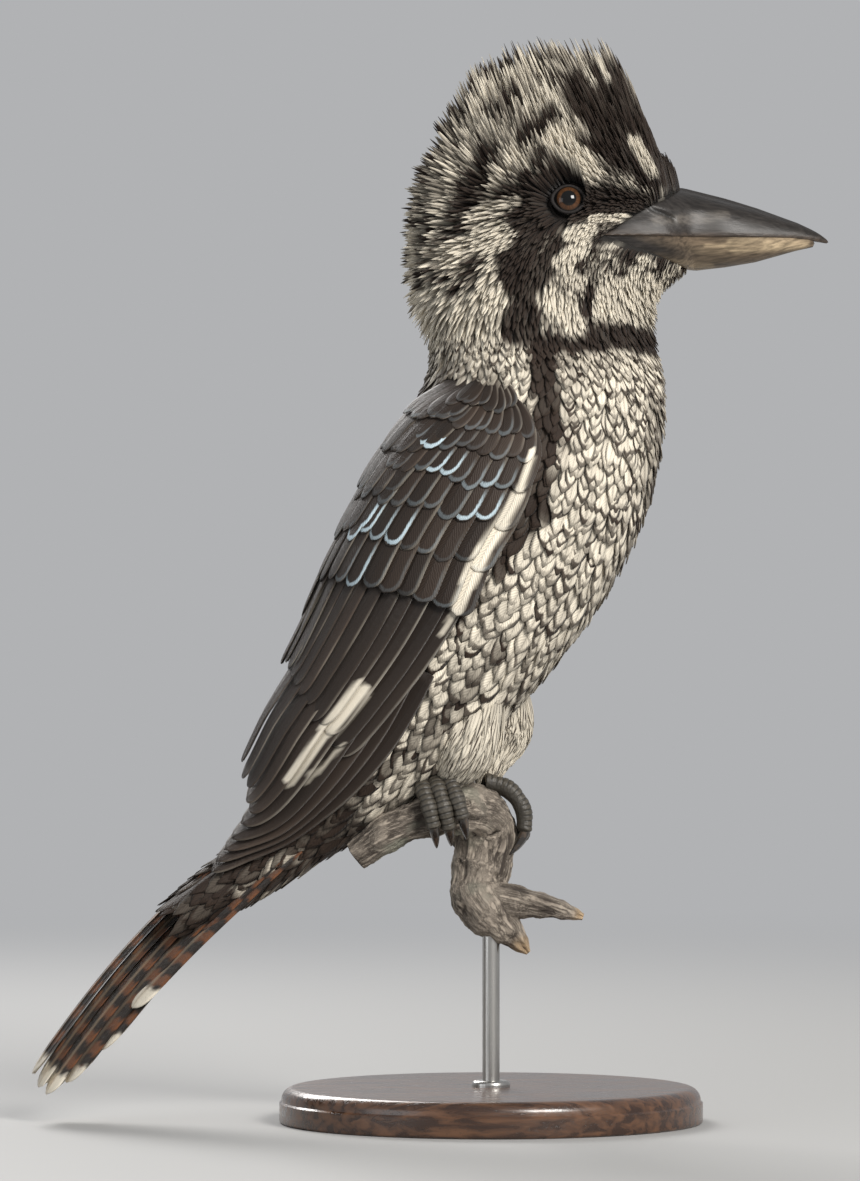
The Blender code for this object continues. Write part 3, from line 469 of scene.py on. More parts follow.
def limb(points, rings, around, seed):
    """A limb with split bark: long ridges that run along it and wander round it, over broad lumps. Over the
    last of its points the end breaks into splinters, which are waves round it."""
    t = np.linspace(0, len(points) - 1, rings)
    shape = smooth(np.arange(len(points)), points, t)
    knobs = 1 + 0.05 * np.sin(t * 3.1) + 0.04 * np.sin(t * 7.3 + 1.0)
    radius = shape[:, 3] * knobs
    surface, spokes = tube(shape[:, :3], radius, around)
    middle = shape[:, None, :3]
    length = length_along(shape[:, :3])[:, None, None]
    across = (surface - middle) + length * (RIDGE_STRETCH, 0.0, 0.0) + np.array([0.0, 0.0, 9.0]) * seed
    wander = uneven(surface, BARK_LUMPS, seed, 2)
    ridges = 1 - np.abs(uneven(across + 0.6 * wander[..., None], BARK_RIDGES, seed + 1, 3))
    crumbs = uneven(surface, BARK_CRUMBS, seed + 2, 2)
    relief = np.clip(ridges, -1, 1) * 0.7 + wander * 0.35 + crumbs * 0.16
    slim = np.clip(radius / SLIM_LIMB, 0.35, 1.0)[:, None]
    ends = np.clip((t - t[-1] + 1.1) / 1.1, 0, 1)[:, None]
    splinters = ends * np.sin(SPLINTERS * round_turn(around) + 1.5) * SPLINTER_DEPTH * radius[:, None]
    surface = surface + spokes * ((relief * BARK_RELIEF - BARK_SUNK) * slim + splinters)[..., None]
    fibre = (surface - middle) + length * (0.0, 0.0, FIBRE_STRETCH)
    fibre[..., 2] += seed * 50.0
    return rings_shell(surface, relief=relief * 0.5 + 0.5, broken=ends + 0 * relief, fibre=fibre)


def layer(tree, name, output="Color"):
    """A layer of the piece in a material: a colour, or by its output a number, Fac, or a Vector."""
    return node(tree, "Attribute", attribute_name=name).outputs[output]


bark, tree, shader = finish_of("bark_finish", 0.85)
along_fibre = layer(tree, "fibre", "Vector")
flecks = noise(tree, on_object(tree), 420.0, 5.0, 0.65)
fibres = noise(tree, along_fibre, 0.9, 6.0, 0.62)
splits = maths(tree, "SUBTRACT", noise(tree, along_fibre, 0.42, 8.0, 0.72), 0.5)
height = plus(tree, layer(tree, "relief", "Fac"), times(tree, flecks, 0.25))
height = plus(tree, height, times(tree, fibres, 0.45))
whole = faded(tree, maths(tree, "ABSOLUTE", splits), 0.0, 0.085)
height = times(tree, height, plus(tree, times(tree, whole, 0.35), 0.65))
# The bark is darker where its relief and splits lie low: the bark's own darker grooves, and painted shade in
# them.
tone = mixed(tree, faded(tree, height, 0.48, 1.12), BARK_DARK, BARK_LIGHT)
patches = noise(tree, on_object(tree), 60.0, 3.0)
tone = mixed(tree, times(tree, faded(tree, patches, 0.55, 0.72), 0.5), tone, LICHEN)
broken = faded(tree, layer(tree, "broken", "Fac"), 0.15, 0.8)
tone = mixed(tree, times(tree, broken, faded(tree, flecks, 0.35, 0.6, 0.5, 1.0)), tone, HEARTWOOD)
link(tree, shader, "Base Color", tone)
bumped(tree, shader, height, 0.9, 0.8)
put("branch", joined([limb(BRANCH, 260, 112, 3), limb(SPUR, 110, 80, 8)]), bark, ["perch_branch"])


# Skin
# One skin runs over the body, neck, head and both thighs, under the feathers. It shows only as shade between
# them and at the bill's root, so it carries the same light and dark as the plumage above it, darkened all
# over as painted shade, and darker still as painted shade at the bill's root.
STATIONS = np.array([  # belly x and z, back x and z, and half width, from over the tail to the bill's tip
    (-92.0, 67.5, -105.0, 80.5, 16.0),
    (-57.5, 88.4, -75.1, 107.8, 13.0),
    (-25.8, 108.8, -64.9, 136.0, 26.0),
    (6.5, 138.4, -53.4, 170.7, 36.0),
    (37.1, 175.8, -43.2, 206.4, 41.0),
    (54.7, 213.2, -31.6, 234.6, 41.5),
    (59.2, 245.5, -21.4, 255.0, 37.0),
    (55.8, 268.6, -20.7, 275.4, 30.0),
    (57.5, 280.2, -17.3, 298.2, 26.5),
    (61.5, 284.9, -7.1, 322.0, 25.0),
    (65.6, 288.0, 18.4, 334.9, 23.0),
    (67.7, 289.3, 40.5, 334.0, 20.0),
    (68.7, 290.0, 55.8, 327.0, 16.5),
    (69.7, 290.4, 66.6, 316.9, 13.4),
    (79.7, 291.1, 79.0, 314.2, 11.4),
    (89.8, 292.4, 90.5, 310.9, 9.0),
    (103.4, 296.1, 104.1, 306.0, 4.8),
    (114.3, 298.6, 115.0, 300.6, 0.8),
])
MIDDLE = (STATIONS[:, 0:2] + STATIONS[:, 2:4]) / 2
STEPS = np.linalg.norm(np.diff(MIDDLE, axis=0), axis=1)
KNOTS = np.concatenate([[0.0], np.cumsum(STEPS)]) - STEPS[0]
CROWN, BROW, BILL_ROOT, BILL_TIP = KNOTS[10], KNOTS[11], KNOTS[13], KNOTS[17]
NECK_BASE, HEAD_BASE = 188.0, 209.0
SKEW = (0.12, 0.02)
FULLNESS = (0.9, 1.05)
SKIN_DEPTH, TAIL_SKIN_DEPTH = 3.0, 6.0
SKIN_START, SKIN_UNDER_BILL = -30.0, 4.0
SKIN_AROUND = 96
BY_BILL = ((-4.0, -1.5, 1.0, 10.0), (7.0, 5.0, 2.0, SKIN_DEPTH))
# Painted shade: the skin's colour is the plumage's times SKIN_SHADE, and by the bill's root down to
# BARE_SHADE.
SKIN_SHADE = 0.35
BARE_SHADE, BARE_REACH = 0.12, (-1.0, 4.0)
GAPE = np.array([36.9, 300.4])
CULMEN_ROOT = np.array([67.3, 317.8])
CHIN = np.array([70.4, 289.4])
MOUTH_Z = 300.4

CREAM = np.array([0.80, 0.73, 0.60])
BUFF = np.array([0.52, 0.41, 0.28])
UMBER = np.array([0.024, 0.0145, 0.0095])

# Light and dark of the drawing, as strokes of a brush: two ends and a radius in picture pixels, and how pale.
# A stroke's edge fades between two multiples of its radius.
BRUSH_FADE = (1.35, 0.75)
PALE_ALONG = ((-25.0, 5.0, 30.0, 150.0, 185.0, 205.0, 230.0, 262.0, 276.0),
              (0.20, 0.40, 0.86, 0.90, 0.84, 0.50, 0.38, 0.28, 0.15))
HEAD_STROKES = (
    (415, 190, 450, 215, 26, 0.25), (470, 165, 530, 190, 14, 0.25), (470, 120, 540, 170, 9, 0.65),
    (505, 80, 535, 105, 14, 0.70), (553, 145, 590, 172, 13, 1.0), (538, 90, 612, 160, 5, 0.95),
    (600, 90, 622, 150, 27, 0.0), (640, 130, 668, 178, 14, 0.0), (578, 95, 600, 125, 20, 0.0),
    (575, 50, 590, 85, 4, 0.9), (596, 58, 606, 85, 3, 0.8), (632, 146, 650, 178, 6, 0.95),
    (690, 205, 640, 215, 16, 0.0), (640, 215, 566, 205, 19, 0.0), (566, 205, 535, 212, 25, 0.0),
    (535, 212, 470, 205, 12, 0.12), (535, 215, 515, 255, 22, 0.0), (515, 250, 518, 332, 21, 0.0),
    (560, 250, 530, 290, 13, 0.0), (465, 222, 515, 206, 6, 0.85),
    (592, 236, 650, 258, 15, 0.06), (589, 222, 628, 222, 3.5, 0.95), (567, 240, 588, 234, 6, 1.0),
    (559, 266, 581, 252, 8, 1.0), (565, 281, 585, 289, 7, 0.95), (597, 252, 620, 247, 3, 0.8),
    (600, 258, 612, 262, 3, 0.7), (638, 262, 652, 268, 3.5, 0.8),
    (610, 296, 650, 293, 15, 0.97), (602, 312, 640, 315, 13, 0.95), (592, 274, 585, 318, 4, 0.1),
    (658, 193, 660, 202, 3, 0.85),
    (548, 305, 572, 328, 12, 1.0), (446, 258, 500, 240, 13, 0.97), (440, 325, 490, 305, 17, 0.9),
    (440, 372, 520, 385, 26, 0.92), (430, 300, 438, 345, 12, 0.9),
    (598, 338, 658, 346, 13, 0.0), (545, 350, 600, 348, 9, 0.0),
)
BODY_STROKES = (
    (590, 400, 640, 380, 18, 0.95), (610, 470, 640, 430, 16, 0.95), (590, 540, 620, 500, 16, 0.9),
    # The strokes on this line and the next three are painted shade: the shadow between the wing and the
    # breast and flank, from the neck down to the legs, and shade along the breast's front edge.
    (540, 350, 546, 440, 13, 0.0), (540, 430, 535, 512, 14, 0.0), (535, 512, 514, 542, 12, 0.0),
    (514, 542, 494, 571, 10, 0.0), (494, 571, 460, 620, 6, 0.1),
    (655, 400, 650, 500, 8, 0.45), (640, 525, 600, 615, 5, 0.5),
    (420, 740, 500, 655, 8, 0.35), (345, 800, 420, 745, 8, 0.3),
    (330, 830, 150, 965, 32, 0.04), (322, 868, 262, 902, 5, 0.75), (300, 850, 240, 890, 4, 0.5),
)


def ramp(value, low, high):
    """0 at low and 1 at high, straight between them and level beyond; low may be the larger."""
    return np.clip((value - low) / (high - low), 0.0, 1.0)


def between(ends, share):
    """The value at a share of the way from one end to the other."""
    return ends[0] + (ends[1] - ends[0]) * share


def plumage(s, angle):
    """The plumage's outer surface: s mm along the spine from the tail root, at an angle from the back down
    the right side. Belly, back and half width come from the stations, joined by a rounded section, which is
    widest towards the back."""
    s, angle = np.broadcast_arrays(np.asarray(s, float), np.asarray(angle, float))
    shape = smooth(KNOTS, STATIONS, s)
    belly, back, half = shape[..., 0:2], shape[..., 2:4], shape[..., 4]
    skew = between(SKEW, ramp(s, NECK_BASE, CROWN))
    power = between(FULLNESS, ramp(s, BROW, BILL_ROOT))
    along = np.sign(np.cos(angle)) * np.abs(np.cos(angle)) ** power
    across = np.sign(np.sin(angle)) * np.abs(np.sin(angle)) ** power * (1 + skew * np.cos(angle))
    side = (belly + back) / 2 + (back - belly) / 2 * along[..., None]
    return np.stack([side[..., 0], -half * across, side[..., 1]], axis=-1)


def spinewards(s, angle):
    """How the plumage surface runs towards the head: its change over 1 mm of the spine."""
    return plumage(s + 0.5, angle) - plumage(s - 0.5, angle)


def outward(s, angle):
    """The plumage surface's normal: at right angles to its run along the spine and round the body."""
    s, angle = np.broadcast_arrays(np.asarray(s, float), np.asarray(angle, float))
    normal = unit(np.cross(spinewards(s, angle), plumage(s, angle + 0.02) - plumage(s, angle - 0.02)))
    point, middle = plumage(s, angle), smooth(KNOTS, MIDDLE, s)
    out = point - np.stack([middle[..., 0], 0 * point[..., 1], middle[..., 1]], axis=-1)
    return normal * np.sign(np.sum(normal * out, axis=-1, keepdims=True))


def lifted(s, angle, lift):
    """A point that stands lift mm off the plumage surface."""
    return plumage(s, angle) + outward(s, angle) * np.asarray(lift, float)[..., None]


def eased(share):
    """A share from 0 to 1 that starts and ends gently: 3 times its square less 2 times its cube."""
    return share * share * (3 - 2 * share)


def off_line(points, start, end):
    """How far points lie, in the side view, from the line between two ends."""
    flat, run = points[..., [0, 2]] - start, end - start
    share = np.clip(flat @ run / (run @ run), 0, 1)
    return np.linalg.norm(flat - share[..., None] * run, axis=-1)


def brushed(points, strokes, base):
    """How pale the picture is at points, 0 to 1: the base, painted over by each stroke in turn, whose cover
    falls off gently round the line between its ends."""
    pale = np.broadcast_to(np.asarray(base, float), points.shape[:-1]).copy()
    for start_x, start_y, end_x, end_y, radius, value in strokes:
        gap = off_line(points, np.array(place(start_x, start_y)), np.array(place(end_x, end_y)))
        pale += (value - pale) * eased(ramp(gap / (radius * PIXEL), *BRUSH_FADE))
    return pale


def paleness(points, s):
    """How pale the plumage is at points over the spine place s: grey on the head, pale below the neck, and
    dark towards the tail, with the drawing's strokes over that."""
    return brushed(points, HEAD_STROKES + BODY_STROKES, np.interp(s, *PALE_ALONG))


def tinted(pale, dark=UMBER, light=CREAM):
    """The colour between dark and light at a share pale."""
    pale = np.asarray(pale)[..., None]
    return dark * (1 - pale) + light * pale


def behind_bill(points):
    """How far points lie behind the bill's V-shaped edge in the side view, in mm; ahead of it is negative."""
    flat = points[..., [0, 2]]

    def left_of(a, b):
        """How far the points lie to the left of the line from a to b."""
        run = (b - a) / np.linalg.norm(b - a)
        return run[0] * (flat[..., 1] - a[1]) - run[1] * (flat[..., 0] - a[0])

    return np.where(flat[..., 1] > MOUTH_Z, left_of(GAPE, CULMEN_ROOT), -left_of(GAPE, CHIN))


def by_bill(s, angle):
    """The skin's depth on the head: least just behind the bill's edge, and more ahead of it, in the bill."""
    return np.interp(behind_bill(plumage(s, angle)), *BY_BILL)


skin_s = np.concatenate([np.linspace(SKIN_START, HEAD_BASE, 110),
                         np.linspace(HEAD_BASE + 1.5, BILL_ROOT + SKIN_UNDER_BILL, 56)])[:, None]
skin_turn = round_turn(SKIN_AROUND)[None, :]
skin_depth = np.interp(skin_s, (SKIN_START, 0.0), (TAIL_SKIN_DEPTH, SKIN_DEPTH)) + 0 * skin_turn
skin_depth += (by_bill(skin_s, skin_turn) - SKIN_DEPTH) * ramp(skin_s, HEAD_BASE, HEAD_BASE + 20.0)
skin_points = lifted(skin_s, skin_turn, -skin_depth)
# Painted shade: the plumage's colour darkened for the gaps between feathers, and more at the bill's root.
skin_tone = tinted(paleness(skin_points, skin_s + 0 * skin_turn)) * SKIN_SHADE
skin_tone *= np.maximum(ramp(behind_bill(skin_points), *BARE_REACH), BARE_SHADE)[..., None]
skin_shells = [rings_shell(skin_points, tone=skin_tone)]

RIGHT, LEFT = -1, 1
SIDE_NAMES = {RIGHT: "right", LEFT: "left"}
LEGS = {  # hip, knee and ankle
    RIGHT: np.array([(0.0, -14.0, 150.0), (-8.0, -15.5, 129.0), (-14.6, -11.5, 115.8)]),
    LEFT: np.array([(7.0, 13.0, 153.0), (3.0, 14.5, 133.0), (-0.5, 9.5, 119.0)]),
}
LEG_SHARES = (0.0, 0.5, 1.0)
THIGH_RADII = (7.0, 10.5, 4.0)
THIGH_COAT = 2.0


def leg_path(side, t):
    """A leg's middle line, from the hip at 0 by the knee at a half to the ankle at 1."""
    return smooth(LEG_SHARES, LEGS[side], t)


def thigh_radius(t):
    """How thick the thigh is with its feathers on, at a share t of the leg."""
    return smooth(LEG_SHARES, THIGH_RADII, t)


for side in (RIGHT, LEFT):
    t = np.linspace(0, 1.02, 20)
    thigh, spokes = tube(leg_path(side, t), thigh_radius(t) - THIGH_COAT, 32)
    # Painted shade: the thighs' skin is cream darkened by SKIN_SHADE.
    skin_shells.append(rings_shell(thigh, tone=CREAM * SKIN_SHADE + 0 * thigh))
skin_finish, tree, shader = finish_of("skin_finish", 0.9)
link(tree, shader, "Base Color", layer(tree, "tone"))
bumped(tree, shader, noise(tree, on_object(tree), 900.0, 3.0), 0.5, 0.6)
put("skin", joined(skin_shells), skin_finish,
    ["torso", "neck", "head", "leg_right", "leg_left"])


# Body feathers
# Loose rounded feathers lie like shingles from the neck to the vent, each on the one below it, cream with a
# brown crescent before the tip. They are rooted in the skin in staggered rows, smaller towards the neck.
FEATHER_ACROSS = np.linspace(-1, 1, 5)
BODY_STATIONS = np.array([0.0, 0.28, 0.52, 0.74, 0.90, 1.0])
BODY_OUTLINE = np.array([0.50, 0.85, 1.0, 0.98, 0.80, 0.40])
NARROW_OUTLINE = np.array([0.60, 0.95, 1.0, 0.80, 0.48, 0.12])
COAT_AT = (-30, 0, 60, 120, 180, 197, 215, 240, 276)  # places along the spine for the next three
COAT_HALF = (COAT_AT, (3.0, 3.2, 3.7, 3.6, 2.3, 1.35, 0.85, 0.60, 0.43))
COAT_ROW = (COAT_AT, (3.8, 3.8, 4.1, 4.0, 2.7, 1.8, 1.25, 0.93, 0.70))
COAT_APART = (COAT_AT, (4.0, 4.0, 4.3, 4.2, 2.8, 1.8, 1.15, 0.86, 0.65))
COAT_LENGTH = ((-30, 0, 40, 110, 170, 195, 215, 240, 262, 276), (27, 25, 22, 20, 16, 13, 11, 8.5, 6.0, 4.0))
COAT_THICK = 0.2
COAT_SPAN = (-26.0, 199.0)
# How unlike single feathers are: radians of drift for a mm of length and of roll, the tip's height, the width
STRAYING, ROLLING = 0.0022, 0.11
TIP_STANDS, UNLIKE = (-0.4, 0.8), (0.88, 1.12)
BARB_SLANT, BARB_SHADE, FEATHER_SHADE = 0.22, (0.80, 1.06), (0.88, 1.08)
PATCH = 0.003
SPINE_SPAN = (-40.0, 290.0)
BACK_ANGLE, BARE_BACK = 80, 175
TUCKED_ABOVE, TUCKED_BELOW, TUCKED_TO = 14, 16, 166
WING = np.array([  # s, the folded wing's upper and lower edge in degrees, and how far it stands off at each
    (-40.0, 25.0, 52.0, 8.6, 5.0),
    (-20.0, 15.0, 62.0, 11.6, 4.6),
    (0.0, 9.0, 84.0, 12.8, 4.2),
    (20.0, 6.0, 95.0, 13.0, 4.0),
    (40.0, 5.0, 98.0, 12.5, 4.0),
    (60.0, 6.0, 97.0, 11.0, 4.2),
    (87.0, 8.0, 94.0, 9.5, 4.5),
    (112.0, 12.0, 91.0, 7.0, 4.6),
    (140.0, 18.0, 92.0, 5.6, 4.2),
    (160.0, 27.0, 88.0, 4.0, 3.0),
    (172.0, 40.0, 74.0, 1.8, 1.8),
])


def vanes(path, t, normal, left, right, thick, bow, setback, tone, home, marks,
          across=FEATHER_ACROSS, tip=0.5):
    """Closed feathers, one to a row of path, whose stations lie at shares t of the length. Across each
    station points run over the top from edge to edge, bowed up by a share of the width, and one lies thick mm
    below the middle. Setback moves the top points of the last stations back, which rounds and frays the tip.
    Home is the root's place on the flattened skin. Edge goes from 0 at the shaft to 1 at the rim: the root of
    c^2 + u^2 (1 - c^2) for a place u across and a share c of the rounded end, which takes the share tip of
    the length."""
    count, stations = path.shape[:2]
    tangent = unit(np.gradient(path, axis=1))
    normal = square_to(normal, tangent)
    sideways = np.cross(tangent, normal)
    half = np.where(across < 0, left[..., None], right[..., None])
    top = (path[:, :, None] + sideways[:, :, None] * (across * half)[..., None]
           + normal[:, :, None] * (bow * half * (1 - across**2))[..., None]
           - tangent[:, :, None] * setback[..., None])
    ring = np.concatenate([top, (path - normal * thick)[:, :, None]], axis=2)
    size = len(across) + 1
    near = np.arange(size - 2)
    end = np.stack([0 * near + size - 1, near, near + 1], axis=1)
    fans = np.concatenate([end[:, ::-1], end + (stations - 1) * size])
    starts = (np.arange(count) * stations * size)[:, None, None]
    u = np.concatenate([across, [0.0]])
    close = ramp(t, 1 - tip, 1)[:, None]
    edge = np.sqrt(close**2 + u**2 * (1 - close**2))
    vane_place = np.stack(np.meshgrid(t, u / 2 + 0.5, indexing="ij")[::-1], axis=-1)
    vane_place = np.broadcast_to(vane_place, (*ring.shape[:3], 2))
    baked = home[:, None, None] + PATCH * vane_place
    return dict(
        points=ring.reshape(-1, 3),
        quads=(band_faces(stations, size) + starts).reshape(-1, 4),
        fans=(fans + starts).reshape(-1, 3),
        layers=dict(
            tone=np.broadcast_to(tone, ring.shape).reshape(-1, 3),
            marks=np.broadcast_to(marks[:, None, None], ring.shape).reshape(-1, 3),
            vane=vane_place.reshape(-1, 2),
            OFBake=baked.reshape(-1, 2),
            edge=np.broadcast_to(edge, ring.shape[:3]).reshape(-1, 1),
        ),
    )


def rows_of_roots(start, end, row, apart, draw):
    """Roots (s, angle) in staggered rows round the body, evenly apart, and thinned where the surface is
    squeezed along the spine, as under the throat. Each strays a little from its place."""
    turn = np.linspace(-math.pi, math.pi, 97)
    found, s, stagger = [], start, 0.0
    while s < end:
        ring = plumage(s, turn)
        reach = length_along(ring)
        stretch = np.linalg.norm(spinewards(s, turn), axis=-1)
        count = int(reach[-1] / np.interp(s, *apart))
        at = (np.arange(count) + stagger + draw.uniform(-0.28, 0.28, count)) / count % 1.0
        angle = np.interp(at * reach[-1], reach, turn)
        step = np.interp(s, *row) / stretch.max()
        kept = draw.random(count) < np.interp(angle, turn, stretch) / stretch.max() + 0.02
        found.append(np.stack([s + draw.uniform(-0.35, 0.35, count) * step, angle], axis=1)[kept])
        s += step
        stagger = 0.5 - stagger
    return np.concatenate(found)


def laid(s, angle, length, stations, drift):
    """Stations (s, angle) of feathers that lie towards the tail, length mm long, and drift sideways."""
    at, places = s.copy(), []
    for i, t in enumerate(stations):
        if i:
            stretch = np.linalg.norm(spinewards(at, angle), axis=-1)
            at = at - length * (t - stations[i - 1]) / np.maximum(stretch, 0.12)
        places.append(at)
    return np.stack(places, axis=1), angle[:, None] + drift[:, None] * stations


def home_of(s, angle):
    """A root's place on the flattened skin: round the body across, along the spine up."""
    up = (s - SPINE_SPAN[0]) / (SPINE_SPAN[1] - SPINE_SPAN[0])
    return np.stack([np.mod(angle / (2 * math.pi), 1.0) * 0.99, up], axis=-1)


def frayed(count, stations, length, draw, across=FEATHER_ACROSS, round_off=0.10, ragged=0.05):
    """Setback of the top points over the last 0.4 of the length: rounding by the edges, and uneven barbs."""
    weight = ramp(np.asarray(stations), 0.6, 1.0)[None, :, None]
    barbs = draw.uniform(0, 1, (count, 1, len(across))) * ragged + round_off * across**2
    return weight * barbs * length[:, None, None]


def feather_finish(name, barbs, ink, rim, shaft=0.35, roughness=0.72, sheen=0.05, relief=0.35):
    """Feather: the piece's own tone, with a crescent round the tip between two shares of the way to its rim,
    a streak on the shaft, and fine barbs that slant from the shaft to both edges. Marks holds how strong each
    feather's crescent and streak are, and a random number."""
    material, tree, shader = finish_of(name, roughness, specular_ior_level=0.25, sheen_weight=sheen,
                                       sheen_roughness=0.45)
    vane = node(tree, "SeparateXYZ", {0: node(tree, "UVMap", uv_map="vane").outputs[0]})
    across, along = vane.outputs[0], vane.outputs[1]
    marks = node(tree, "SeparateColor", {0: layer(tree, "marks")})
    off_shaft = times(tree, maths(tree, "ABSOLUTE", maths(tree, "SUBTRACT", across, 0.5)), 2.0)
    fine = noise(tree, on_object(tree), 700.0)
    slanted = maths(tree, "SUBTRACT", along, times(tree, off_shaft, BARB_SLANT))
    phase = plus(tree, slanted, times(tree, fine, 0.05))
    wave = maths(tree, "SINE", times(tree, phase, barbs * 2 * math.pi))
    edge = plus(tree, layer(tree, "edge", "Fac"), times(tree, maths(tree, "SUBTRACT", fine, 0.5), 0.14))
    crescent = times(tree, faded(tree, edge, rim[0] - 0.07, rim[0] + 0.05),
                     faded(tree, edge, rim[1] - 0.03, rim[1] + 0.03, 1.0, 0.0))
    crescent = times(tree, crescent, faded(tree, along, 0.52, 0.78))
    streak = times(tree, faded(tree, off_shaft, 0.05, 0.42, 1.0, 0.0), faded(tree, along, 0.3, 0.6))
    crescent = times(tree, crescent, marks.outputs[0])
    inked = maths(tree, "MAXIMUM", crescent, times(tree, streak, marks.outputs[1]))
    tone = mixed(tree, inked, layer(tree, "tone"), ink)
    shade = times(tree, faded(tree, wave, -1.0, 1.0, *BARB_SHADE),
                  faded(tree, off_shaft, 0.0, 0.09, 1.0 - shaft, 1.0))
    shade = times(tree, shade, faded(tree, marks.outputs[2], 0.0, 1.0, *FEATHER_SHADE))
    link(tree, shader, "Base Color", shaded(tree, tone, shade))
    height = plus(tree, wave, times(tree, faded(tree, off_shaft, 0.0, 0.12, 1.0, 0.0), 2.0))
    bumped(tree, shader, height, 0.10, relief)
    return material


body_finish = feather_finish("body_feather", 15.0, UMBER * 1.3, (0.82, 1.2))


def coat(s, angle, length, half, draw, root_lift, tip_lift, stations, outline, crescents, streaks, pale_of,
         spread=0.35, bow=0.14, round_off=0.06, ragged=0.05, across=FEATHER_ACROSS, rise=None, beside=0.0):
    """Feathers that lie along the body from their roots: they rise from root_lift to tip_lift, are coloured
    by how pale the picture is under each point, darkened towards the root as painted shade, and each is a
    little lighter or darker than the next, by spread. Rise lifts them further, and beside is the share by
    which their faces turn to the bird's side."""
    count = len(s)
    places, turns = laid(s, angle, length, stations, draw.normal(0, STRAYING, count) * length)
    lift = between((root_lift, tip_lift + draw.uniform(*TIP_STANDS, count)[:, None]), stations[None] ** 1.3)
    path = lifted(places, turns, lift)
    normal = outward(places, turns)
    if rise is not None:
        path = path + rise
        sideways = np.sign(angle)[:, None, None] * np.array([0.0, -1.0, 0.0])
        normal = unit(normal * (1 - beside)[:, None, None] + sideways * beside[:, None, None])
    tangent = unit(np.gradient(path, axis=1))
    roll = draw.normal(0, ROLLING, count)[:, None, None]
    normal = normal * np.cos(roll) + np.cross(tangent, normal) * np.sin(roll)
    width = half[:, None] * outline * draw.uniform(*UNLIKE, count)[:, None]
    pale = pale_of(path, places)
    flow = np.stack([angle * 24.0, s * 0.2, 0 * s], axis=-1)
    own = (0.45 * draw.uniform(-1, 1, count) + 0.75 * uneven(flow, 4.5, 61, 2))[:, None]
    pale = np.clip(pale + own * spread * 4 * pale * (1 - pale) + own * 0.05, 0, 1)
    # Painted shade: each feather's colour darkens towards its root, where the feathers over it shade it.
    tone = tinted(pale) * (0.45 + 0.55 * np.clip(stations * 1.6, 0, 1))[None, :, None]
    marks = np.stack([crescents, streaks, draw.random(count)], axis=-1)
    setback = frayed(count, stations, length, draw, across, round_off, ragged)
    return vanes(path, stations, normal, width, width, COAT_THICK, bow, setback, tone[:, :, None],
                 home_of(s, angle), marks, across)


draw = np.random.default_rng(21)
root_s, root_angle = rows_of_roots(*COAT_SPAN, COAT_ROW, COAT_APART, draw).T
steep = np.degrees(np.abs(root_angle))
upper_edge, lower_edge = (np.interp(root_s, WING[:, 0], WING[:, column]) for column in (1, 2))
under_wing = (steep > upper_edge + TUCKED_ABOVE) & (steep < lower_edge - TUCKED_BELOW) & (root_s < TUCKED_TO)
root_s, root_angle, steep = (values[~under_wing] for values in (root_s, root_angle, steep))
body_length = np.interp(root_s, *COAT_LENGTH) * draw.uniform(0.9, 1.12, len(root_s))
body_half = np.interp(root_s, *COAT_HALF)
plain_back = (steep < BACK_ANGLE) & (root_s < BARE_BACK)
crescents = np.where(plain_back, 0.0, draw.uniform(0.3, 1.0, len(root_s)))
streaks = draw.uniform(0.0, 0.35, len(root_s))


def body_paleness(points, s):
    """How pale the picture is, but dark on the back between the wings, up to the neck."""
    pale = paleness(points, s)
    shape = smooth(KNOTS, STATIONS, s)
    across = shape[..., 2:4] - shape[..., 0:2]
    share = np.sum((points[..., [0, 2]] - shape[..., 0:2]) * across, axis=-1) / np.sum(across**2, axis=-1)
    return pale * (1 - 0.95 * ramp(share, 0.62, 0.77) * ramp(s, 185.0, 160.0))


BODY_PIECES = (("belly_feathers", -30, 80), ("breast_feathers", 80, 150), ("neck_feathers", 150, 200))
ROOT_DEPTH, TIP_LIFT = SKIN_DEPTH + 0.4, 0.1
for name, low, high in BODY_PIECES:
    part = (root_s >= low) & (root_s < high)
    feathers = coat(root_s[part], root_angle[part], body_length[part], body_half[part], draw, -ROOT_DEPTH,
                    TIP_LIFT, BODY_STATIONS, BODY_OUTLINE, crescents[part], streaks[part], body_paleness)
    put(name, feathers, body_finish)


# Thigh feathers
# Longer, looser cream feathers hang down each thigh like trousers and end over the ankle. Each is rooted in
# the thigh's skin and has a thin brown streak.
THIGH_ROOTS = 640
THIGH_LENGTH = (10.0, 17.0)
THIGH_HALF = 1.4
THIGH_LIFT = np.array([-2.2, -1.0, -0.2, 0.3, 0.5, 0.6])

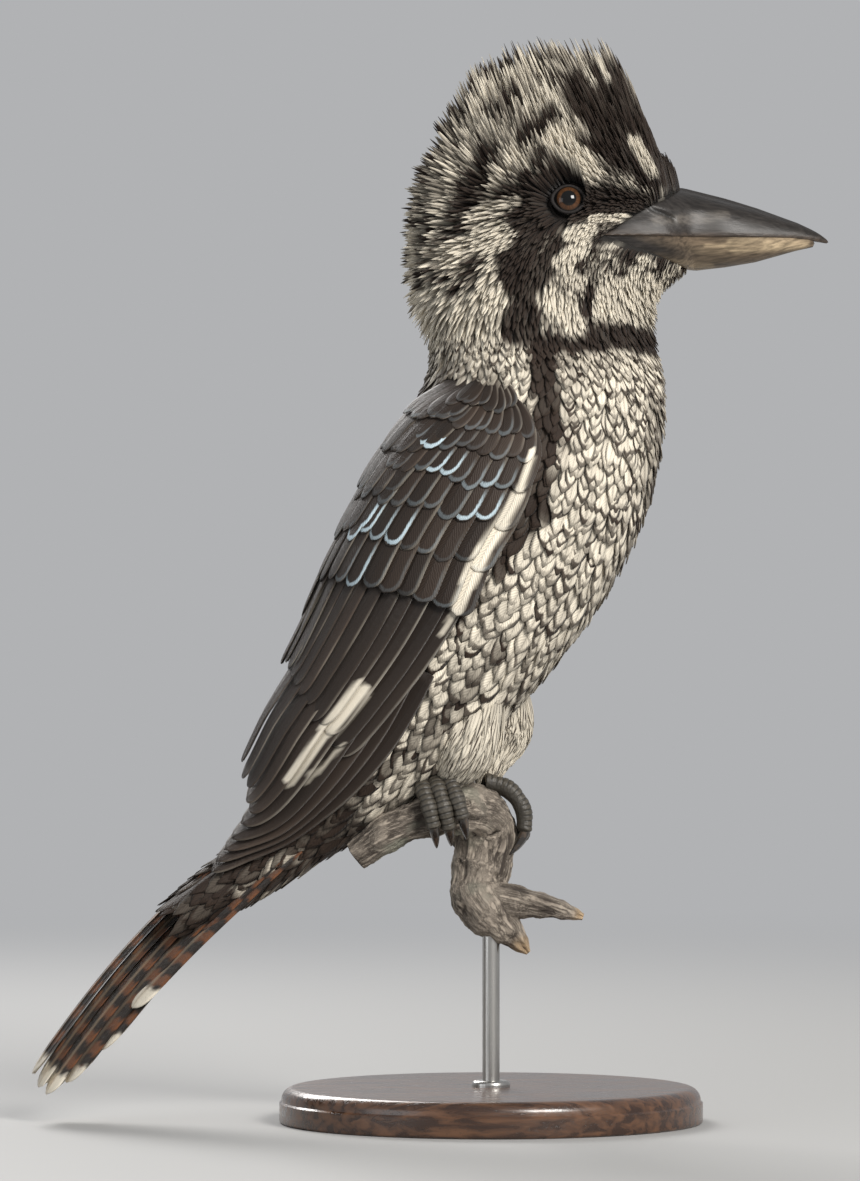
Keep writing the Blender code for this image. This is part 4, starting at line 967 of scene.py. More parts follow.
draw = np.random.default_rng(5)
thigh_shells = []
for side in (RIGHT, LEFT):
    count = THIGH_ROOTS
    start = draw.uniform(0.05, 0.80, count)[:, None]
    spin = draw.uniform(0, 2 * math.pi, count)[:, None, None]
    turned_by = draw.normal(0, 0.16, count)[:, None, None] * BODY_STATIONS[:, None]
    length = draw.uniform(*THIGH_LENGTH, count)
    t = start + length[:, None] / length_along(LEGS[side])[-1] * BODY_STATIONS
    middle = leg_path(side, t)
    run = unit(leg_path(side, t + 0.01) - leg_path(side, t - 0.01))
    beside = square_to(np.broadcast_to((0.0, 1.0, 0.0), run.shape), run)
    spoke = beside * np.cos(spin + turned_by) + np.cross(run, beside) * np.sin(spin + turned_by)
    lift = THIGH_LIFT + draw.uniform(-0.5, 0.6, (count, 1)) * BODY_STATIONS
    path = middle + spoke * (thigh_radius(np.minimum(t, 1.1)) + lift)[..., None]
    own = np.minimum(draw.uniform(-1, 1, count) + 0.5, 0)[:, None]
    out_of_shade = 0.5 + 0.5 * np.clip(BODY_STATIONS * 1.7, 0, 1)
    tone = tinted(np.clip(0.86 + 0.4 * own + 0 * t, 0, 1)) * out_of_shade[:, None]
    width = THIGH_HALF * NARROW_OUTLINE * draw.uniform(0.8, 1.2, count)[:, None]
    marks = np.stack([0 * start[:, 0], draw.uniform(0.0, 1.3, count).clip(0, 1), draw.random(count)], axis=-1)
    across_map = spin[:, 0, 0] / (2 * math.pi) * 0.45 + (0.5 if side == LEFT else 0.0)
    home = np.stack([across_map, start[:, 0]], axis=-1)
    setback = frayed(count, BODY_STATIONS, length, draw, ragged=0.08)
    thigh_shells.append(vanes(path, BODY_STATIONS, spoke, width, width, COAT_THICK, 0.2, setback,
                              tone[:, :, None], home, marks))
put("thigh_feathers", joined(thigh_shells), body_finish)


# Tail
# Twelve long stiff feathers close like a hand of cards, the middle pair on top, each with a buff shaft and a
# rounded tip. They are rufous with black bars and end in white; the last body feathers hide their roots.
TAIL_FEATHERS = np.array([  # root x, y, z, tip x, y, z, and arch, of one side's feathers from the middle out
    (-73.0, 0.9, 104.0, -155.6, 2.0, 16.4, 5.5),
    (-71.2, 2.6, 101.4, -153.0, 5.2, 11.4, 4.6),
    (-69.4, 4.3, 98.8, -148.6, 8.6, 11.0, 3.6),
    (-67.6, 6.0, 96.2, -136.0, 12.2, 22.6, 2.6),
    (-65.8, 7.7, 93.6, -122.0, 15.8, 40.4, 1.6),
])
TAIL_UP = unit(np.array([-0.75, 0.0, 0.66]))
TAIL_PAIRS = 6
TAIL_HALF = 8.0
TAIL_LAP, TAIL_STACK = 0.5, 0.35
TAIL_TILT = (8.0, 20.0)
TAIL_THICK, TAIL_BOW, TAIL_END = 0.5, 0.10, 0.10
TAIL_BAR = 10.5
TAIL_WHITE = 8.0
SHAFT_SHARE = 0.5
FLIGHT_TIP = (0.5, 0.6, 0.66)
RUFOUS = np.array([0.150, 0.056, 0.021])
TAIL_BLACK = np.array([0.016, 0.011, 0.008])
WIDE_ACROSS = np.linspace(-1, 1, 9)
WIDE_RING = np.append(WIDE_ACROSS, 0.0)


def tipped(t, tip):
    """Half width along a long feather as a share of its widest: it widens from the root, and over the last
    share, tip, closes like the end of an ellipse."""
    rise = ramp(t, 0.0, 0.5)
    close = ramp(t, 1 - tip, 1)
    return (0.55 + 0.45 * rise * (2 - rise)) * np.sqrt(np.clip(1 - close**2.2, 0.012, 1))


def rolled(path, normal, roll):
    """The normals of paths turned about them, in radians."""
    tangent = unit(np.gradient(path, axis=1))
    return normal * math.cos(roll) + np.cross(tangent, normal) * math.sin(roll)


tail_t = np.linspace(0, 1, 90)
pair = np.linspace(0, len(TAIL_FEATHERS) - 1, TAIL_PAIRS)
tail_rows = smooth(np.arange(len(TAIL_FEATHERS)), TAIL_FEATHERS, pair)
draw = np.random.default_rng(11)
tail_shells = []
for side in (RIGHT, LEFT):
    base, tip = tail_rows[:, None, 0:3] * (1, side, 1), tail_rows[:, None, 3:6] * (1, side, 1)
    arch = tail_rows[:, None, 6] * np.sin(math.pi * tail_t) + (TAIL_LAP if side == RIGHT else 0.0)
    path = between((base, tip), tail_t[:, None]) + TAIL_UP * (arch - TAIL_STACK * pair[:, None])[..., None]
    tilt = np.radians(np.where(pair == 0, *TAIL_TILT))[:, None]
    normal = TAIL_UP * np.cos(tilt) + np.array([0.0, side, 0.0]) * np.sin(tilt)
    normal = np.broadcast_to(normal[:, None], path.shape)
    outer = TAIL_HALF * tipped(tail_t, TAIL_END)[None] * np.ones((TAIL_PAIRS, 1))
    inner = np.minimum(outer, np.where(pair[:, None] == 0, outer, np.abs(path[..., 1]) - 0.4))
    left, right = (outer, inner) if side == LEFT else (inner, outer)
    length = np.linalg.norm(tip - base, axis=-1)
    from_tip = (1 - tail_t)[None, :, None] * length[..., None] - 2.0 * np.abs(WIDE_RING)
    wobble = draw.uniform(-1.0, 1.0, (TAIL_PAIRS, 1, 1)) + 0.8 * np.sin(9.0 * WIDE_RING + pair[:, None, None])
    bar = np.sin((from_tip + wobble) * 2 * math.pi / TAIL_BAR)
    tone = tinted(np.clip(bar * 2.2 + 0.1, 0, 1), TAIL_BLACK, RUFOUS)
    white = np.clip((TAIL_WHITE - from_tip + wobble) / 1.5, 0, 1)[..., None]
    tone = tone * (1 - white) + CREAM * white
    shaft = SHAFT_SHARE * np.clip(1 - np.abs(WIDE_RING) * 7.0, 0, 1)[:, None]
    tone = tone * (1 - shaft) + BUFF * shaft
    marks = np.stack([0 * pair, 0 * pair, draw.random(TAIL_PAIRS)], axis=-1)
    home = np.stack([0.1 + 0.06 * pair + (0.45 if side == LEFT else 0.0), 0.5 + 0 * pair], axis=-1)
    setback = frayed(TAIL_PAIRS, tail_t * 0.42 + 0.58, length[:, 0], draw, WIDE_ACROSS, 0.0, 0.006)
    tail_shells.append(vanes(path, tail_t, normal, left, right, TAIL_THICK, TAIL_BOW, setback, tone, home,
                             marks, WIDE_ACROSS, TAIL_END))
flight_finish = feather_finish("flight_feather", 62.0, FLIGHT_TIP, (0.7, 0.95), shaft=0.15, roughness=0.5,
                               sheen=0.15, relief=0.45)
put("tail_feathers", joined(tail_shells), flight_finish, ["tail"])


# Wings
# The folded wing lies over the flank: small feathers at the shoulder, then rows of dark coverts with pale
# blue tips, then the long secondaries and primaries, each row rooted under the one before it. The feathers
# are stiff blades with a raised shaft, set on a solid core that keeps the wing's form.
WING_DARK = np.array([0.026, 0.017, 0.012])
WING_FRINGE = np.array([0.105, 0.078, 0.058])
TIP_BLUE = np.array([0.50, 0.62, 0.68])
WING_CORE = (2.0, 171.0)
CORE_PLACES = (0.02, 0.92)
CORE_UNDER, CORE_DEPTH, CORE_LEAST = 3.0, 2.5, 0.3
WING_BOW = 2.2
BLADE_ROLL = 8.0
BLADE_ROOT, BLADE_RISE = 3.3, 3.2
BLADE_THICK, BLADE_BOW = 0.45, 0.13
LEADING_VANE = 0.72
FLIGHT_TIERS = 2
WING_TIERS = (
    # count, root s, tip s, root place, tip place between the upper edge 0 and the lower edge 1, half width,
    # share of the length that the rounded tip takes, and how far each lies below the one above it
    (10, (78, 71), (13, -31), (0.33, 0.97), (0.11, 0.97), 5.6, 0.09, 0.70),    # primaries
    (12, (104, 97), (52, 33), (0.06, 0.97), (0.06, 0.78), 5.8, 0.13, 0.25),    # secondaries
    (3, (120, 112), (68, 50), (0.02, 0.22), (0.00, 0.18), 7.0, 0.17, 0.20),    # tertials
    (11, (133, 127), (84, 92), (0.05, 0.97), (0.05, 0.97), 4.8, 0.14, 0.10),   # greater coverts
    (11, (146, 141), (102, 110), (0.08, 0.97), (0.08, 0.97), 4.7, 0.17, 0.08),
    (11, (157, 151), (118, 124), (0.10, 0.97), (0.10, 0.97), 4.5, 0.21, 0.06),  # median coverts
    (11, (163, 159), (132, 136), (0.26, 0.97), (0.24, 0.97), 4.0, 0.25, 0.0),
    (10, (168, 164), (145, 147), (0.34, 0.96), (0.30, 0.96), 3.7, 0.30, 0.0),   # lesser coverts
    (10, (172, 169), (154, 156), (0.36, 0.95), (0.32, 0.95), 3.2, 0.34, 0.0),
    (9, (176, 174), (163, 164), (0.38, 0.93), (0.34, 0.93), 2.9, 0.38, 0.0),
    (4, (151, 146), (103, 106), (0.02, 0.30), (0.00, 0.27), 6.4, 0.18, 0.10),   # scapulars
    (5, (162, 157), (121, 124), (0.02, 0.38), (0.00, 0.34), 5.8, 0.22, 0.10),
    (6, (172, 167), (139, 142), (0.04, 0.46), (0.02, 0.42), 4.9, 0.26, 0.0),
    (7, (178, 174), (154, 156), (0.04, 0.46), (0.00, 0.42), 4.0, 0.30, 0.0),
)
WING_STROKES = (
    (529, 461, 515, 500, 3.5, 1.0), (515, 500, 497, 530, 5.5, 1.0), (497, 530, 480, 556, 6.5, 1.0),
    (480, 556, 466, 586, 7.5, 1.0), (466, 586, 455, 612, 5.5, 1.0), (455, 612, 442, 635, 3.5, 0.95),
    (362, 692, 330, 730, 8, 1.0), (330, 730, 292, 780, 5.5, 0.95), (345, 745, 312, 778, 2.5, 0.7),
)
CRESCENT_STROKES = (
    (421, 448, 434, 478, 9, 1.0),
    (465, 480, 505, 478, 11, 1.0), (450, 508, 480, 505, 11, 1.0), (430, 540, 452, 538, 11, 1.0),
    (461, 527, 482, 522, 8, 0.9), (427, 589, 437, 585, 10, 0.9), (392, 536, 385, 545, 12, 1.0),
    (362, 536, 352, 548, 10, 1.0), (368, 562, 362, 570, 10, 1.0), (351, 585, 352, 595, 9, 0.8),
)


def wing_angle(s, place):
    """The angle from the back, at a place between the folded wing's upper edge, 0, and its lower one, 1."""
    upper, lower = smooth(WING[:, 0], WING[:, 1], s), smooth(WING[:, 0], WING[:, 2], s)
    return np.radians(between((upper, lower), place))


def wing_lift(s, place):
    """How far the folded wing's outer surface stands off the body: its edges' heights joined, and bowed up
    between them as half a wave."""
    upper, lower = smooth(WING[:, 0], WING[:, 3], s), smooth(WING[:, 0], WING[:, 4], s)
    bow = WING_BOW * ramp(s, 172.0, 132.0) * np.sin(math.pi * place)
    return upper * (1 - place) + lower * place + bow


draw = np.random.default_rng(33)
core_s = np.linspace(*WING_CORE, 60)[:, None]
outer_place, inner_place = np.linspace(0, 1, 24)[None, :], np.linspace(1, 0, 12)[None, :]
core_end = ramp(core_s, WING_CORE[0], WING_CORE[0] + 14.0)
core_lift = np.maximum((wing_lift(core_s, outer_place) - CORE_UNDER) * (0.5 + 0.5 * core_end), CORE_LEAST)
core_outer = lifted(core_s, wing_angle(core_s, between(CORE_PLACES, outer_place)), core_lift)
inner_angle = wing_angle(core_s, between(CORE_PLACES, inner_place))
core_inner = lifted(core_s, inner_angle, -CORE_DEPTH + 0 * inner_angle)
core_points = np.concatenate([core_outer, core_inner], axis=1)
# The core is the wing's dark colour darkened further, as painted shade where it shows between the feathers.
wing_core = rings_shell(core_points, tone=WING_DARK * 0.6 + 0 * core_points)


def blade_tone(path, normal, width, t, flight):
    """The colours of a row of wing feathers: dark, with a lighter fringe, a pale line of wear by the edge and
    the drawing's pale marks, and darkened towards the root as painted shade."""
    count = len(path)
    run = unit(np.gradient(path, axis=1))[:, :, None]
    sideways = np.cross(run[:, :, 0], normal)[:, :, None]
    at = path[:, :, None] + sideways * (WIDE_RING * width[..., None])[..., None]
    at = at + run * (draw.uniform(-1.5, 1.5, (count, 1, 1)) + 2.0 * np.abs(WIDE_RING))[..., None]
    own = draw.uniform(0.75, 1.3, (count, 1, 1, 1))
    rim = ramp(np.abs(WIDE_RING), 0.72, 1.0)[:, None] * 0.6
    tone = (WING_DARK * (1 - rim) + WING_FRINGE * rim) * own * np.ones((1, len(t), 1, 1))
    pale_share = draw.uniform(-0.3, 0.75, (count, 1, 1))
    pale_share = pale_share + 0.25 * np.sin(t[:, None] * 9.0 + draw.uniform(0, 6, (count, 1, 1)))
    line = ramp(np.abs(WIDE_RING), 0.78, 0.88) * np.clip(pale_share, 0, 1) * (0.7 if flight else 0.3)
    pale = np.maximum(line, brushed(at, WING_STROKES, 0.0))[..., None]
    tone = tone * (1 - pale) + CREAM * pale
    return tone * (0.6 + 0.4 * np.clip(t * 2.0, 0, 1))[None, :, None, None]


wing_parts = {"flight": [], "covert": []}
for tier, (count, root_ss, tip_ss, root_places, tip_places, half, tip, below) in enumerate(WING_TIERS):
    flight = tier < FLIGHT_TIERS
    v = np.linspace(0, 1, count)[:, None] + draw.uniform(-0.14, 0.14, (count, 1)) / count
    t = np.linspace(0, 1, 40 if flight else 22)
    t = t * (1.5 - 0.5 * t)
    root_s = between(root_ss, v) + draw.uniform(-1.2, 1.2, (count, 1))
    tip_s = between(tip_ss, v) + draw.uniform(-2.0, 2.0, (count, 1))
    s = between((root_s, tip_s), t)
    place_at = between((between(root_places, v), between(tip_places, v)), t)
    angle = wing_angle(s, place_at)
    order = np.arange(count)[:, None] - (count - 1) / 2
    lift = wing_lift(s, place_at) - BLADE_ROOT + BLADE_RISE * t**0.8 - below * order * t
    path = lifted(s, angle, lift + draw.uniform(-0.15, 0.15, (count, 1)))
    normal = rolled(path, outward(s, angle), math.radians(BLADE_ROLL))
    width = half * tipped(t, tip)[None] * draw.uniform(0.95, 1.05, (count, 1))
    length = np.linalg.norm(path[:, -1] - path[:, 0], axis=-1)
    tone = blade_tone(path, normal, width, t, flight)
    crescent = 0 * length
    if not flight:
        crescent = brushed(path[:, -1], CRESCENT_STROKES, draw.uniform(0.0, 0.16, count))
    marks = np.stack([crescent, 0 * length, draw.random(count)], axis=-1)
    setback = frayed(count, t * 0.5 + 0.5, length, draw, WIDE_ACROSS, 0.0, 0.010 if flight else 0.012)
    home = np.stack([0.05 + 0.9 * v[:, 0], root_s[:, 0] / 190.0], axis=-1)
    leading = width * (LEADING_VANE if flight else 1.0)
    wing_parts["flight" if flight else "covert"].append(
        vanes(path, t, normal, leading, width, BLADE_THICK, BLADE_BOW, setback, tone, home, marks,
              WIDE_ACROSS, tip))

covert_finish = feather_finish("covert_feather", 24.0, TIP_BLUE, (0.74, 0.95), shaft=0.25, roughness=0.6,
                               sheen=0.08, relief=0.4)
core_finish, tree, shader = finish_of("wing_core", 0.9)
link(tree, shader, "Base Color", layer(tree, "tone"))
for side, sided in (("right", lambda shell: shell), ("left", mirrored)):
    put("wing_core_" + side, sided(wing_core), core_finish, ["wing_" + side])
    put("flight_feathers_" + side, sided(joined(wing_parts["flight"])), flight_finish)
    put("wing_coverts_" + side, sided(joined(wing_parts["covert"])), covert_finish)


# Head feathers and crest
# Fine narrow feathers sweep back from the bill. They are tiny on the face and longer over the crown and nape,
# where the bird has raised them into a ragged crest, streaked because cream and dark brown ones lie mixed.
CREST = np.array([  # root s and where the feather's tip stands, x and z, in the middle plane
    (207.0, -28.4, 283.5),
    (214.0, -30.3, 298.2),
    (222.0, -29.6, 311.8),
    (229.0, -24.8, 328.8),
    (234.0, -15.0, 344.1),
    (240.0, -5.1, 359.0),
    (246.0, 5.1, 365.5),
    (253.0, 17.0, 367.5),
    (259.0, 29.2, 367.2),
    (265.0, 41.1, 363.8),
    (269.0, 49.8, 346.5),
    (272.5, 55.2, 333.2),
    (275.5, 60.8, 327.4),
    (279.0, 66.0, 320.6),
])
CREST_START, CREST_END = (200.0, 207.0), (281.5, 278.5)
HEAD_SPAN = (197.0, BILL_ROOT + 5.0)
LID_RING, LID_RADIUS, LID_CLEAR = 4.9, 0.65, 0.3
FACE, FACE_REACH, FACE_LEAST = (50.0, 0.0, 303.0), 45.0, 0.35
SHORTEST = 1.2
HEAD_ACROSS = np.linspace(-1, 1, 3)
HEAD_STATIONS = np.array([0.0, 0.3, 0.55, 0.78, 0.92, 1.0])
HEAD_OUTLINE = np.array([0.70, 1.0, 0.95, 0.72, 0.42, 0.10])
EYE = {side: np.array(sum(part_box("eye_" + name), Vector())) / 2 / MM for side, name in SIDE_NAMES.items()}


def spread_of(s, angle):
    """Share of the crest's height at an angle from the crown's middle; it fades out at both ends."""
    return np.clip(np.cos(angle), 0.0, 1.0) ** 0.7 * ramp(s, *CREST_END) * ramp(s, *CREST_START)


def raised(s, angle):
    """How far the crest lifts a feather's tip off its root: away from the head, and along it to the bill."""
    roots = CREST[:, 0]
    rise = np.stack([CREST[:, 1], 0 * roots, CREST[:, 2]], axis=1) - plumage(roots, 0.0)
    out = np.sum(rise * outward(roots, 0.0 * roots), axis=1)
    ahead = np.sum(rise * unit(spinewards(roots, 0.0 * roots)), axis=1)
    held = np.clip(s, roots[0], roots[-1])
    lean = unit(outward(s, angle) + outward(s, 0.0 * angle))
    share = spread_of(s, angle)
    return (lean * (smooth(roots, out, held) * share)[:, None],
            unit(spinewards(s, angle)) * (smooth(roots, ahead, held) * share)[:, None])


draw = np.random.default_rng(77)
root = rows_of_roots(*HEAD_SPAN, COAT_ROW, COAT_APART, draw)
root = root[behind_bill(plumage(*root.T)) > 0.0]
head_s, head_angle = root.T
point = plumage(head_s, head_angle)
run = -unit(spinewards(head_s, head_angle))
face = np.clip(np.linalg.norm(point - np.array(FACE), axis=1) / FACE_REACH, FACE_LEAST, 1.0)
length = np.interp(head_s, *COAT_LENGTH) * draw.uniform(0.9, 1.3, len(head_s)) * face
clear = LID_RING + LID_RADIUS + LID_CLEAR
for side in (RIGHT, LEFT):  # feathers rooted ahead of an eye end at its lids
    to_eye = EYE[side] - point
    along = np.sum(to_eye * run, axis=1)
    apart = np.linalg.norm(to_eye[:, [0, 2]] - run[:, [0, 2]] * along[:, None], axis=1)
    near = point[:, 1] * side > 0
    inside = (np.hypot(to_eye[:, 0], to_eye[:, 2]) < clear) & near
    reach = along - np.sqrt(np.maximum(clear**2 - apart**2, 0))
    blocked = (along > 0) & (apart < clear) & near
    length = np.where(blocked, np.minimum(length, np.maximum(reach, 0.0)), length)
    length = np.where(inside, 0.0, length)
kept = length > SHORTEST
head_s, head_angle, length = head_s[kept], head_angle[kept], length[kept]
half = np.minimum(np.interp(head_s, *COAT_HALF) * draw.uniform(0.8, 1.1, len(head_s)), length * 0.25)

upright = spread_of(head_s, head_angle)
out, ahead = raised(head_s, head_angle)
locks = uneven(plumage(head_s, head_angle), 9.0, 41, 2)
full = np.clip(0.80 + 0.13 * locks + draw.normal(0, 0.10, len(head_s)), 0.5, 1.04)
share = HEAD_STATIONS[None, :, None]
rise = (out[:, None] * share**0.9 + ahead[:, None] * share**1.5) * full[:, None, None]
height = np.linalg.norm(out, axis=1)
half = half * (1 + 0.1 * np.clip(height / 20.0, 0, 1))
lying = length * (1 - 0.8 * np.clip(upright * height / 12.0, 0, 1))
beside = np.clip(upright * height / 10.0, 0, 0.85)
streaks = draw.uniform(0, 0.5, len(head_s))
sunk = -by_bill(head_s, head_angle)[:, None] - 0.3
HEAD_PIECES = (("nape_feathers", 190, 216), ("crest_feathers", 216, 234), ("crown_feathers", 234, 248),
               ("forehead_feathers", 248, 262), ("face_feathers", 262, 290))
for name, low, high in HEAD_PIECES:
    part = (head_s >= low) & (head_s < high)
    feathers = coat(head_s[part], head_angle[part], lying[part], half[part], draw, sunk[part], 0.0,
                    HEAD_STATIONS, HEAD_OUTLINE, 0 * head_s[part], streaks[part], paleness, spread=1.0,
                    ragged=0.02, across=HEAD_ACROSS, rise=rise[part], beside=beside[part])
    put(name, feathers, body_finish)


# Eyes
# A glossy ball sits in each socket, held by a ring of bare wrinkled lids. The iris is dark brown round a
# black pupil, and the clear front bulges a little.
EYE_RADIUS = 6.0
EYE_BULGE = 0.045
EYE_BLACK = 0.004
IRIS, PUPIL = 0.74, 0.41
IRIS_BROWN = np.array([0.078, 0.032, 0.011])
LID_AROUND, LID_SECTION = 96, 24
LID_STAND, LID_CORNER = 3.7, 0.5
LID_LONG, LID_TALL, LID_FLAT = 1.02, 0.92, 0.85
LID_FOLDS, LID_FOLD = 31, 0.07
LID_SKIN = np.array([0.009, 0.0075, 0.007])


def facing(side):
    """The eye's axes: out of the head, square to the plumage where the eye sits, forward, and up."""
    s, angle = eye_place
    out = outward(s, angle) * (1, -side, 1)
    forward = unit(np.cross(out, (0.0, 0.0, 1.0)))
    return out, forward, np.cross(forward, out)


# The plumage's place that lies over the eye in the side view, found as the nearest point of a fine grid
grid_s, grid_angle = np.meshgrid(np.linspace(225, 270, 181), np.linspace(0.6, 2.2, 161), indexing="ij")
miss = np.linalg.norm(plumage(grid_s, grid_angle)[..., [0, 2]] - EYE[RIGHT][[0, 2]], axis=-1)
nearest = np.unravel_index(np.argmin(miss), miss.shape)
eye_place = (grid_s[nearest], grid_angle[nearest])


def eyeball(side):
    """The ball: rings about the axis that points out, a little further off inside the iris. The iris has wavy
    fibres between the pupil and its rim."""
    out, forward, up = facing(side)
    off_axis = np.linspace(0.01, math.pi - 0.01, 72)[:, None]
    turn = round_turn(64)[None, :]
    bulge = EYE_RADIUS * (1 + EYE_BULGE * np.clip(1 - (off_axis / IRIS) ** 2, 0, 1)) + 0 * turn
    spoke = np.cos(turn)[..., None] * forward + np.sin(turn)[..., None] * up
    ray = np.cos(off_axis)[..., None] * out + np.sin(off_axis)[..., None] * spoke
    fibres = 0.75 + 0.25 * np.sin(23 * turn + 3 * np.sin(7 * turn)) * np.sin(off_axis * 9.0)
    ring = ramp(off_axis, IRIS, IRIS - 0.08) * ramp(off_axis, PUPIL, PUPIL + 0.05)
    tone = IRIS_BROWN * (fibres * ring)[..., None] + EYE_BLACK
    return rings_shell(EYE[side] + bulge[..., None] * ray, tone=tone)


def lid_ring(side):
    """The lids: a folded roll carried round the eye, drawn out to a corner in front and behind."""
    out, forward, up = facing(side)
    tilt = round_turn(LID_SECTION)[None, :]
    around = round_turn(LID_AROUND)[:, None]
    folds = LID_RADIUS * (1 + LID_FOLD * np.sin(around * LID_FOLDS) * np.clip(np.cos(tilt), 0, 1))
    reach = LID_RING + LID_CORNER * np.cos(around) ** 8 + folds * np.cos(tilt)
    spoke = np.cos(around)[..., None] * forward * LID_LONG + LID_TALL * np.sin(around)[..., None] * up
    height = LID_STAND + folds * np.sin(tilt) * LID_FLAT
    lids = EYE[side] + out * height[..., None] + spoke * reach[..., None]
    quads = band_faces(LID_AROUND + 1, LID_SECTION) % (LID_AROUND * LID_SECTION)
    return dict(points=lids.reshape(-1, 3), quads=quads, fans=np.zeros((0, 3), int), layers={})


eye_finish, tree, shader = finish_of("eye_finish", 0.4, specular_ior_level=0.0, coat_weight=1.0,
                                     coat_ior=1.36, coat_roughness=0.02)
link(tree, shader, "Base Color", layer(tree, "tone"))
lid_finish, tree, shader = finish_of("lid_finish", 0.65, specular_ior_level=0.2)
wrinkles = node(tree, "TexVoronoi", {"Vector": on_object(tree), "Scale": 1400.0}).outputs[0]
link(tree, shader, "Base Color", mixed(tree, faded(tree, wrinkles, 0.1, 0.6), LID_SKIN, 1.5 * LID_SKIN))
bumped(tree, shader, wrinkles, 0.15, 0.5)
for side, name in SIDE_NAMES.items():
    put("eyeball_" + name, eyeball(side), eye_finish, ["eye_" + name])
    put("lids_" + name, lid_ring(side), lid_finish)


# Bill
# Two heavy horn mandibles meet along a straight gape. The upper one is nearly black, ridged along the top and
# hooked over the lower one's tip; the lower one is pale horn with a dark root. A nostril slit lies low on
# each side by the feathers.
BILL_START = 228.0
BILL_NARROWING = ((36.0, 70.0, 95.0), (0.87, 0.95, 1.0))
MOUTH_LINE = ((36.0, 101.0, 108.0, 115.0), (300.4, 300.4, 299.8, 298.5))
MOUTH_GAP = 0.01
LOWER_TIP_X = 109.4
NOSTRIL = np.array([57.5, 308.0])
NOSTRIL_RUN = np.array([4.0, -1.6])
NOSTRIL_HALF, NOSTRIL_DEPTH = 0.75, 0.6
HORN_BLACK = np.array([0.020, 0.017, 0.015])
HORN_BROWN = np.array([0.075, 0.052, 0.036])
HORN_PALE = np.array([0.40, 0.31, 0.20])
HORN_GREY = np.array([0.105, 0.092, 0.078])
HORN_STRETCH, BILL_SLOPE = (60.0, 900.0, 700.0), 0.06
HORN_GLOSS = (0.36, 0.50)
# The upper strokes are painted highlight: paler grey patches on the upper mandible, which also read as worn
# grey horn. The lower strokes are the lower mandible's own pale horn, with painted highlight along its
# streaks.
UPPER_STROKES = ((655, 223, 690, 221, 5, 0.5), (690, 221, 724, 217, 5, 0.45))
LOWER_STROKES = ((735, 245, 800, 240, 9, 1.0), (705, 249, 760, 247, 3, 0.7), (665, 264, 710, 268, 4, 0.55),
                 (690, 252, 720, 252, 3, 0.35))
CULMEN = ((36.0, 66.6, 79.0, 90.5, 104.1, 114.8), (322.4, 316.3, 313.2, 309.9, 305.3, 300.6))
KEEL = ((36.0, 60.0, 70.0, 79.7, 89.8, 103.4, 114.6), (291.0, 289.3, 289.5, 290.6, 292.3, 296.1, 298.6))
TIP_ROUND = 9.0
RIDGE_HEIGHT, RIDGE_HALF = 0.9, 1.5
ROOT_SHRINK = 0.22
LOWER_SLIM, LOWER_BLUNT = 0.965, 0.12

bill_s = np.linspace(BILL_START, BILL_TIP, 190)[:, None]
bill_turn = round_turn(120)[None, :]
form = plumage(bill_s, bill_turn)
form[..., 1] *= np.interp(form[..., 0], *BILL_NARROWING)
for line, ridge in ((CULMEN, form[:, :1]), (KEEL, form[:, 60:61])):
    wanted = np.clip((np.interp(ridge[..., 0], *line) - MOUTH_Z) / (ridge[..., 2] - MOUTH_Z), 0.7, 1.2)
    same_side = (form[..., 2] - MOUTH_Z) * (ridge[..., 2] - MOUTH_Z) > 0
    form[..., 2] = np.where(same_side, MOUTH_Z + (form[..., 2] - MOUTH_Z) * wanted, form[..., 2])
middle = form.mean(axis=1, keepdims=True)
end = ramp(bill_s, BILL_TIP - TIP_ROUND, BILL_TIP)[..., None]
form = middle + (form - middle) * np.sqrt(1.005 - end**4) - (0.0, 0.0, 0.5) * end**3
form = form + (middle - form) * (ROOT_SHRINK * eased(ramp(behind_bill(form), 0.0, 5.0)))[..., None]
slit = off_line(form, NOSTRIL - NOSTRIL_RUN, NOSTRIL + NOSTRIL_RUN)
nostril = np.exp(-(slit / NOSTRIL_HALF) ** 2) * (np.abs(form[..., 1]) > 4)
form[..., 1] -= np.sign(form[..., 1]) * nostril * NOSTRIL_DEPTH
mouth = np.interp(form[..., 0], *MOUTH_LINE)

upper = form.copy()
tall = np.clip((upper[..., 2] - mouth) / 12.0, 0, 1)
upper[..., 2] += RIDGE_HEIGHT * tall * np.exp(-(upper[..., 1] / RIDGE_HALF) ** 2)
upper[..., 1] *= 1 - 0.05 * np.sin(math.pi * np.clip(tall * 1.3, 0, 1))
upper[..., 2] = np.maximum(upper[..., 2], mouth + MOUTH_GAP)
edge = np.exp(-((form[..., 2] - mouth) / 1.3) ** 2)[..., None]
# Painted highlight, partly worn grey horn: the upper mandible is paler where UPPER_STROKES lie.
pale_share = brushed(form, UPPER_STROKES, 0.0)[..., None]
upper_tone = HORN_BLACK + (HORN_BROWN - HORN_BLACK) * edge * 0.45
# The nostril slit is darkened as painted shade in its hollow.
upper_tone = (upper_tone + (HORN_GREY - upper_tone) * pale_share) * (1 - 0.8 * nostril[..., None])
lower = form.copy()
lower[..., 1] *= LOWER_SLIM
lower[..., 2] = np.minimum(lower[..., 2], mouth - MOUTH_GAP)
lower[..., 0] = np.minimum(lower[..., 0], LOWER_TIP_X + (form[..., 0] - LOWER_TIP_X) * LOWER_BLUNT)
lip = np.exp(-((form[..., 2] - mouth) / 1.6) ** 2)[..., None]
by_gape = ramp(behind_bill(form), -9.0, -2.0)[..., None]
